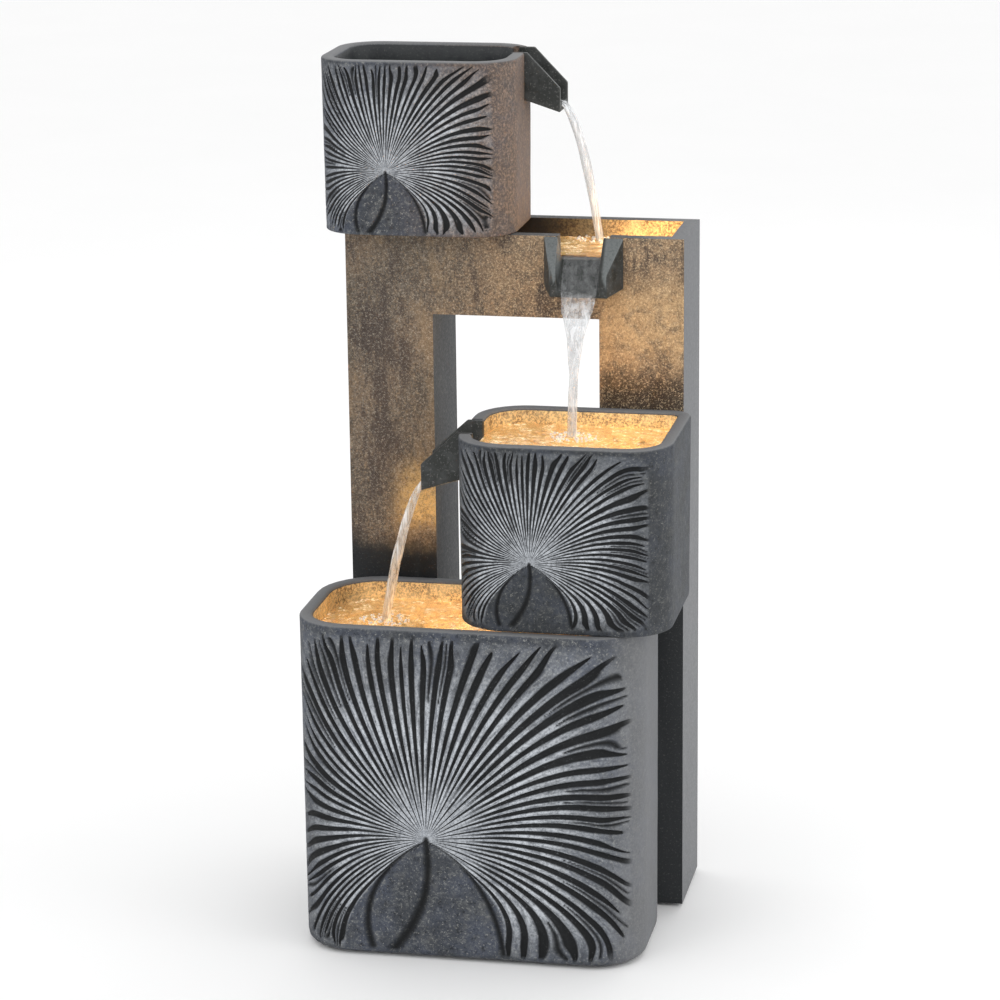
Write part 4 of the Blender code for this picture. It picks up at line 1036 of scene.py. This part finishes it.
def spray_tree():
    """Droplets and bubbles scattered over the guide's faces."""
    inputs = [("Droplets a square metre", "NodeSocketFloat"), ("Smallest", "NodeSocketFloat"),
              ("Largest", "NodeSocketFloat"), ("Seed", "NodeSocketInt"), ("Material", "NodeSocketMaterial")]
    tree = Tree("spray", inputs)
    feed = tree.entry.outputs
    spread = tree.node("GeometryNodeDistributePointsOnFaces", {}, {
        "Mesh": feed["Geometry"], "Density": feed["Droplets a square metre"], "Seed": feed["Seed"]})
    ball = tree.node("GeometryNodeMeshIcoSphere", {}, {"Radius": 1.0, "Subdivisions": 2})
    size = tree.node("FunctionNodeRandomValue", {"data_type": "FLOAT"})
    tree.tree.links.new(feed["Smallest"], size.inputs[2])
    tree.tree.links.new(feed["Largest"], size.inputs[3])
    tree.tree.links.new(feed["Seed"], size.inputs["Seed"])
    drops = tree.node("GeometryNodeInstanceOnPoints", {}, {
        "Points": spread.outputs["Points"], "Instance": ball.outputs["Mesh"], "Scale": size.outputs[1]})
    smooth = tree.node("GeometryNodeSetShadeSmooth", {}, {"Geometry": drops.outputs[0]})
    tree.end(smooth.outputs[0])
    return tree


def ringed_tube_tree():
    """A tube along the guide curve with raised rings at an even pitch."""
    inputs = [("Radius", "NodeSocketFloat"), ("Ring pitch", "NodeSocketFloat"),
              ("Ring radius", "NodeSocketFloat"), ("Material", "NodeSocketMaterial")]
    tree = Tree("ringed_tube", inputs)
    feed = tree.entry.outputs
    section = tree.node("GeometryNodeCurvePrimitiveCircle", {}, {"Resolution": 20, "Radius": feed["Radius"]})
    tube = tree.node("GeometryNodeCurveToMesh", {}, {
        "Curve": feed["Geometry"], "Profile Curve": section.outputs["Curve"], "Fill Caps": True})
    stations = tree.node("GeometryNodeCurveToPoints", {"mode": "LENGTH"}, {
        "Curve": feed["Geometry"], "Length": feed["Ring pitch"]})
    hoop = tree.node("GeometryNodeCurvePrimitiveCircle", {}, {"Resolution": 20, "Radius": feed["Radius"]})
    wire = tree.node("GeometryNodeCurvePrimitiveCircle", {}, {"Resolution": 6, "Radius": feed["Ring radius"]})
    ring = tree.node("GeometryNodeCurveToMesh", {}, {
        "Curve": hoop.outputs["Curve"], "Profile Curve": wire.outputs["Curve"]})
    rings = tree.node("GeometryNodeInstanceOnPoints", {}, {
        "Points": stations.outputs["Points"], "Instance": ring.outputs["Mesh"],
        "Rotation": stations.outputs["Rotation"]})
    both = tree.node("GeometryNodeJoinGeometry")
    tree.tree.links.new(tube.outputs[0], both.inputs[0])
    tree.tree.links.new(rings.outputs[0], both.inputs[0])
    smooth = tree.node("GeometryNodeSetShadeSmooth", {}, {"Geometry": both.outputs[0]})
    tree.end(smooth.outputs[0])
    return tree


def disc(name, centre, radius, lean=1.0):
    """A flat round guide for the spray."""
    bm = bmesh.new()
    bmesh.ops.create_circle(bm, cap_ends=True, segments=24, radius=radius)
    bmesh.ops.scale(bm, vec=(lean, 1, 1), verts=bm.verts)
    bmesh.ops.translate(bm, vec=centre, verts=bm.verts)
    mesh = bpy.data.meshes.new(name)
    bm.to_mesh(mesh)
    bm.free()
    return mesh


# ---- operators ----------------------------------------------------------------------------------
class FOUNTAIN_OT_stage(bpy.types.Operator):
    """Lay the pale floor, the studio lights and the camera"""

    bl_idname = "fountain.stage"
    bl_label = "Stage, lights and camera"

    def execute(self, context):
        scene = context.scene
        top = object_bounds()[1][2]
        mesh = bpy.data.meshes.new("studio_floor")
        half = 60.0
        corners = [(-half, -half, 0), (half, -half, 0), (half, half, 0), (-half, half, 0)]
        mesh.from_pydata(corners, [], [(0, 1, 2, 3)])
        mesh.materials.append(studio_floor("studio_floor"))
        floor = bpy.data.objects.new("studio_floor", mesh)
        scene.collection.objects.link(floor)
        floor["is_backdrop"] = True
        world = bpy.data.worlds.new("studio")
        world.use_nodes = True
        world.node_tree.nodes["Background"].inputs["Color"].default_value = (1.0, 1.0, 1.0, 1.0)
        world.node_tree.nodes["Background"].inputs["Strength"].default_value = 1.0
        scene.world = world
        scene.view_settings.view_transform = "Standard"
        middle = Vector((0, 0, top / 2))
        self.lamp(scene, "key_light", Vector((-1.6, -2.2, 2.2)), middle, 1.4, 9)
        self.lamp(scene, "fill_light", Vector((2.6, -0.6, 1.4)), middle, 1.8, 14)
        self.lamp(scene, "rim_light", Vector((0.6, 2.4, 2.2)), middle, 1.6, 8)
        self.camera(scene)
        return {"FINISHED"}

    def lamp(self, scene, name, place, target, size, energy):
        light = bpy.data.lights.new(name, "AREA")
        light.size = size
        light.energy = energy
        holder = bpy.data.objects.new(name, light)
        holder.location = place
        holder.rotation_euler = (target - place).to_track_quat("-Z", "Y").to_euler()
        scene.collection.objects.link(holder)

    def camera(self, scene):
        azimuth = math.radians(11.523)
        elevation = math.radians(15.265)
        roll = -0.0117
        eye = bpy.data.cameras.new("front_view")
        eye.lens = 125.09
        eye.sensor_width = 36.0
        holder = bpy.data.objects.new("front_view", eye)
        ahead = Vector((-math.sin(azimuth) * math.cos(elevation), math.cos(azimuth) * math.cos(elevation),
                        -math.sin(elevation)))
        right = Vector((math.cos(azimuth), math.sin(azimuth), 0))
        turn = Matrix((right, right.cross(ahead), -ahead)).transposed() @ Matrix.Rotation(roll, 3, "Z")
        holder.matrix_world = Matrix.Translation((0.6344, -3.12767, 1.28531)) @ turn.to_4x4()
        scene.collection.objects.link(holder)
        scene.camera = holder


class FOUNTAIN_OT_tanks(bpy.types.Operator):
    """Cast the three tanks with their fan-leaf fronts"""

    bl_idname = "fountain.tanks"
    bl_label = "Cast tanks"

    def execute(self, context):
        sizes = context.scene.fountain_sizes
        for tank in fountain_tanks(sizes):
            mesh = cast_tank_mesh(tank, sizes)
            outside, inside = tank.name + "_finish", tank.name + "_inside"
            mesh.materials.append(cast_slate(outside, hub_of(tank.panel), tank.warm_light_and_bronze, tank.shade))
            mesh.materials.append(lit_basin(inside, tank.lamp, 0.2) if tank.lamp else dark_basin(inside))
            place_piece(tank.name + "_cast", carve(mesh, tank.openings), None,
                        replaced=(tank.name,))
        return {"FINISHED"}


class FOUNTAIN_OT_frame(bpy.types.Operator):
    """Round off and finish the portal frame, its back panel and the spouts"""

    bl_idname = "fountain.frame"
    bl_label = "Portal frame and spouts"

    def execute(self, context):
        width = context.scene.fountain_sizes.edge_round
        wash = bronze_wash("bronze_wash")
        for node in ("portal_frame", "rear_panel"):
            mesh = softened_mesh(node, width if node == "portal_frame" else 0.6 * MM)
            piece = place_piece(node + "_cast", mesh, wash, replaced=(node,))
            if node == "portal_frame":
                self.light_trough(piece)
        spout = wet_spout("wet_spout")
        for node in ("upper_spout", "middle_spout", "trough_spout"):
            place_piece(node + "_cast", softened_mesh(node, 1.0 * MM), spout, replaced=(node,))
        return {"FINISHED"}

    def light_trough(self, piece):
        """The trough's inside takes the lit finish."""
        lamp = centre_of("trough_light_lens")
        piece.data.materials.append(lit_basin("trough_inside", lamp, 0.16, (10 * MM, 125 * MM)))
        lo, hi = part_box("portal_frame")
        rim = 12 * MM
        floor_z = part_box("trough_light_housing")[0].z + 8 * MM
        for face in piece.data.polygons:
            c = face.center
            inside_x = PORTAL_X[0] - 1 * MM < c.x < hi.x - rim
            inside_y = lo.y + rim < c.y < hi.y - rim
            if inside_x and inside_y and floor_z < c.z < hi.z - 3 * MM:
                face.material_index = 1


class FOUNTAIN_OT_fittings(bpy.types.Operator):
    """Finish the pump, lights, pipe, wiring, door and fixings"""

    bl_idname = "fountain.fittings"
    bl_label = "Pump, lights and fixings"

    def execute(self, context):
        black = moulded("black_moulding", (0.022, 0.022, 0.025), 0.45)
        grey = moulded("grey_moulding", (0.1, 0.103, 0.107), 0.6)
        rubber = moulded("rubber_moulding", (0.014, 0.014, 0.014), 0.8, 0.05)
        sheath = moulded("cable_sheath", (0.012, 0.012, 0.013), 0.55, 0.04)
        finishes = {"black_plastic": black, "grey_plastic": grey, "black_rubber": rubber,
                    "cable_sheath": sheath, "stainless_steel": brushed_steel("brushed_steel"),
                    "light_lens": lamp_lens("lamp_lens"), "clear_vinyl": vinyl("clear_vinyl")}
        body_of = {node: body for body, nodes in frame["record"]["behaviour"]["bodies"].items()
                   for node in nodes}
        slots = {part["node"]: part["material_slot"] for part in frame["record"]["subparts"]}
        softened = {"access_door": 0.7, "pump_body": 1.2, "pump_strainer_cover": 0.5,
                    "junction_box": 0.8, "junction_box_lid": 0.8}
        for node, slot_name in slots.items():
            if slot_name not in finishes:
                continue
            if node in softened:
                mesh = softened_mesh(node, softened[node] * MM)
                place_piece(node + "_moulded", mesh, finishes[slot_name], body_of[node], (node,))
            elif node != "riser_hose":
                cad = frame["nodes"][node]
                cad.data.materials.clear()
                cad.data.materials.append(finishes[slot_name])
        self.hose(finishes["clear_vinyl"])
        return {"FINISHED"}

    def hose(self, finish):
        """The ribbed riser hose, along the pipe's route."""
        lo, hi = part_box("riser_hose")
        radius = (hi.x - lo.x) / 2
        x = (lo.x + hi.x) / 2
        near, far = lo.y + radius, hi.y - radius
        crossing = centre_of("hose_grommet").z
        bend = 40 * MM
        path = [Vector((x, near, lo.z + 0.1 * MM))]
        for centre, start, turn in (((near + bend, crossing - bend), math.pi, -1),
                                    ((far - bend, crossing + bend), -math.pi / 2, 1)):
            for step in range(9):
                angle = start + turn * math.pi / 2 * step / 8
                y = centre[0] + bend * math.cos(angle)
                path.append(Vector((x, y, centre[1] + bend * math.sin(angle))))
        path.append(Vector((x, far, hi.z - 0.1 * MM)))
        curve = bpy.data.curves.new("hose_route", "CURVE")
        curve.dimensions = "3D"
        spline = curve.splines.new("POLY")
        spline.points.add(len(path) - 1)
        for point, co in zip(spline.points, path):
            point.co = (*co, 1)
        rib = 0.35 * MM
        mesh = ringed_tube_tree().run("riser_hose_ribbed", curve, {
            "Radius": radius - rib, "Ring pitch": 4 * MM, "Ring radius": rib, "Material": finish})
        place_piece("riser_hose_ribbed", mesh, finish, replaced=("riser_hose",))


class FOUNTAIN_OT_pools(bpy.types.Operator):
    """Fill the tanks and the trough with rippled water"""

    bl_idname = "fountain.pools"
    bl_label = "Water in the basins"

    def execute(self, context):
        sizes = context.scene.fountain_sizes
        levels = {"upper_tank": sizes.upper_level, "middle_tank": sizes.middle_level,
                  "lower_tank": sizes.lower_level}
        for tank in fountain_tanks(sizes):
            level = levels[tank.name]
            plan = tank.outline(sizes.wall + WATER_INSET, coarse=True)
            hit = landing(tank.name, sizes)
            mesh = pool_mesh(tank.name + "_water", plan, level, hit)
            lamp = tank.lamp or Vector((0, 0, 0))
            finish = basin_water(tank.name + "_water", lamp, dark=tank.lamp is None)
            place_piece(tank.name + "_water", mesh, finish).visible_shadow = False
        self.trough(sizes)
        return {"FINISHED"}

    def trough(self, sizes):
        lo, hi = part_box("portal_frame")
        rim = 13.4 * MM + WATER_INSET
        low = (PORTAL_X[0] + WATER_INSET, lo.y + rim)
        high = (hi.x - rim, hi.y - rim)
        radii = (1.5 * MM,) * 4
        plan = rounded_outline(low, high, radii, (34, 12, 34, 12), (2, 2, 2, 2))
        mesh = pool_mesh("trough_water", plan, sizes.trough_level, landing("trough", sizes))
        finish = basin_water("trough_water", centre_of("trough_light_lens"))
        place_piece("trough_water", mesh, finish).visible_shadow = False


def landing(basin, sizes):
    """Where the stream lands in a basin; the upper tank's pipe wells up at its inlet."""
    upper_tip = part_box("upper_spout")[1]
    middle_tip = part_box("middle_spout")[0]
    middle_y = centre_of("middle_spout").y
    chute_lo, chute_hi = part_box("trough_spout")
    chute_x = (chute_lo.x + chute_hi.x) / 2
    inlet = centre_of("inlet_fitting")
    return {
        "trough": Vector((upper_tip.x + 33 * MM, centre_of("upper_spout").y + 6 * MM, sizes.trough_level)),
        "middle_tank": Vector((chute_x - 1 * MM, chute_lo.y - 37 * MM, sizes.middle_level)),
        "lower_tank": Vector((middle_tip.x - 45 * MM, middle_y + 8 * MM, sizes.lower_level)),
        "upper_tank": Vector((inlet.x, inlet.y, sizes.upper_level)),
    }[basin]


class FOUNTAIN_OT_streams(bpy.types.Operator):
    """Pour the three streams down the spouts, with their splashes"""

    bl_idname = "fountain.streams"
    bl_label = "Falling water"

    def execute(self, context):
        sizes = context.scene.fountain_sizes
        self.sheet("upper_stream", "upper_spout", 1, landing("trough", sizes), 11 * MM, 6 * MM,
                   (2.0 * MM, 4.2 * MM), 5, 0.0)
        # the lower stream carries painted gold lamplight from the lower tank's lamp
        self.sheet("lower_stream", "middle_spout", -1, landing("lower_tank", sizes), 7 * MM, 6 * MM,
                   (1.5 * MM, 4.2 * MM), 9, 0.35)
        self.chute(landing("middle_tank", sizes))
        self.splashes(sizes)
        return {"FINISHED"}

    def sheet(self, name, node, side, end, half_wide, half_narrow, thickness, seed, warm):
        """A stream that runs along a side spout's channel, and falls from its tip."""
        lo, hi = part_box(node)
        root_x, tip_x = (lo.x, hi.x) if side > 0 else (hi.x, lo.x)
        across = Vector((0, 1, 0))
        y = (lo.y + hi.y) / 2
        wall_x = root_x + side * 13 * MM
        floor = lo.z + 5.5 * MM
        wall_floor = hi.z - 36.5 * MM
        start = Vector((root_x + side * 1 * MM, y, wall_floor))
        path = [start.lerp(Vector((wall_x, y, wall_floor)), step / 6) for step in range(6)]
        lip = Vector((tip_x - side * 0.5 * MM, y, floor))
        path += [Vector((wall_x, y, wall_floor)).lerp(lip, step / 10) for step in range(10)]
        channel = len(path)
        path += fall(lip, end)
        half = list(np.interp(range(channel), [0, channel], [15 * MM, half_wide]))
        half += list(widths(path[channel:], [(0, half_wide), (0.25, half_wide * 0.62),
                                             (0.6, half_narrow), (1, half_narrow * 1.35)]))
        thin = [1.5 * MM] * channel
        thin += list(widths(path[channel:], [(0, thickness[0]), (0.3, thickness[1] * 0.8),
                                             (0.7, thickness[1]), (1, thickness[1] * 0.9)]))
        mesh = ribbon_mesh(name, path, half, thin, across, seed)
        place_piece(name, mesh, falling_water(name, warm))

    def chute(self, end):
        """The wide sheet off the trough's chute, which gathers into a thread."""
        lo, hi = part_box("trough_spout")
        x = (lo.x + hi.x) / 2
        back = Vector((x, hi.y + 12 * MM, lo.z + 35.5 * MM))
        crest = Vector((x, hi.y + 1 * MM, lo.z + 35 * MM))
        lip = Vector((x, lo.y + 0.5 * MM, lo.z + 7.5 * MM))
        path = [back.lerp(crest, step / 5) for step in range(5)]
        path += [crest.lerp(lip, step / 14) for step in range(14)]
        channel = len(path)
        path += fall(lip, end, lean=0.9)
        half = list(np.interp(range(channel), [0, channel], [19.5 * MM, 17.5 * MM]))
        half += list(widths(path[channel:], [(0, 17.5 * MM), (0.28, 15 * MM), (0.5, 8 * MM), (0.72, 4.2 * MM),
                                             (1, 4.6 * MM)]))
        thin = [1.2 * MM] * channel + [2.4 * MM] * (len(path) - channel)
        mesh = ribbon_mesh("chute_stream", path, half, thin, Vector((1, 0, 0)), 2)
        place_piece("chute_stream", mesh, falling_water("chute_stream", 0.0, lo.z + 6 * MM))

    def splashes(self, sizes):
        tree = spray_tree()
        foam = white_foam("white_foam")
        for index, basin in enumerate(("trough", "middle_tank", "lower_tank")):
            hit = landing(basin, sizes) + UP * 0.6 * MM
            guide = disc(basin + "_splash", hit, 19 * MM, 1.3)
            mesh = tree.run(basin + "_splash", guide, {
                "Droplets a square metre": 60000.0, "Smallest": 0.4 * MM, "Largest": 1.7 * MM,
                "Seed": 11 + index, "Material": foam})
            place_piece(basin + "_splash", mesh, foam)


class FOUNTAIN_OT_glow(bpy.types.Operator):
    """Light the warm lamps in the basins"""

    bl_idname = "fountain.glow"
    bl_label = "Warm lamps"

    def execute(self, context):
        lamps = [("lower_glow", centre_of("lower_light_lens") + Vector((0, -46 * MM, 0)), 0.85),
                 ("middle_glow", centre_of("middle_light_lens") + Vector((0, -40 * MM, 0)), 0.4),
                 ("trough_glow", centre_of("trough_light_lens") + UP * 14 * MM, 0.3)]
        for name, place, power in lamps:
            light = bpy.data.lights.new(name, "POINT")
            light.energy = power
            light.color = context.scene.fountain_colours.glow
            light.shadow_soft_size = 9 * MM
            holder = bpy.data.objects.new(name, light)
            holder.location = place
            context.scene.collection.objects.link(holder)
        return {"FINISHED"}


class FOUNTAIN_PT_panel(bpy.types.Panel):
    """Lists the fountain's builders and settings"""

    bl_idname = "FOUNTAIN_PT_panel"
    bl_label = "Tiered water fountain"
    bl_space_type = "VIEW_3D"
    bl_region_type = "UI"
    bl_category = "Fountain"

    def draw(self, context):
        for operator in OPERATORS:
            self.layout.operator(operator.bl_idname)
        for group in (context.scene.fountain_sizes, context.scene.fountain_colours):
            for key in group.bl_rna.properties.keys():
                if key not in ("rna_type", "name"):
                    self.layout.prop(group, key)


OPERATORS = (FOUNTAIN_OT_tanks, FOUNTAIN_OT_frame, FOUNTAIN_OT_fittings, FOUNTAIN_OT_pools,
             FOUNTAIN_OT_streams, FOUNTAIN_OT_glow, FOUNTAIN_OT_stage)
CLASSES = (FountainSizes, FountainColours, *OPERATORS, FOUNTAIN_PT_panel)


def register():
    for cls in CLASSES:
        bpy.utils.register_class(cls)
    bpy.types.Scene.fountain_sizes = PointerProperty(type=FountainSizes)
    bpy.types.Scene.fountain_colours = PointerProperty(type=FountainColours)


def unregister():
    del bpy.types.Scene.fountain_sizes
    del bpy.types.Scene.fountain_colours
    for cls in reversed(CLASSES):
        bpy.utils.unregister_class(cls)


def main():
    register()
    bpy.ops.fountain.tanks()
    bpy.ops.fountain.frame()
    bpy.ops.fountain.fittings()
    bpy.ops.fountain.pools()
    bpy.ops.fountain.streams()
    bpy.ops.fountain.glow()
    bpy.ops.fountain.stage()


if __name__ == "__main__":
    main()
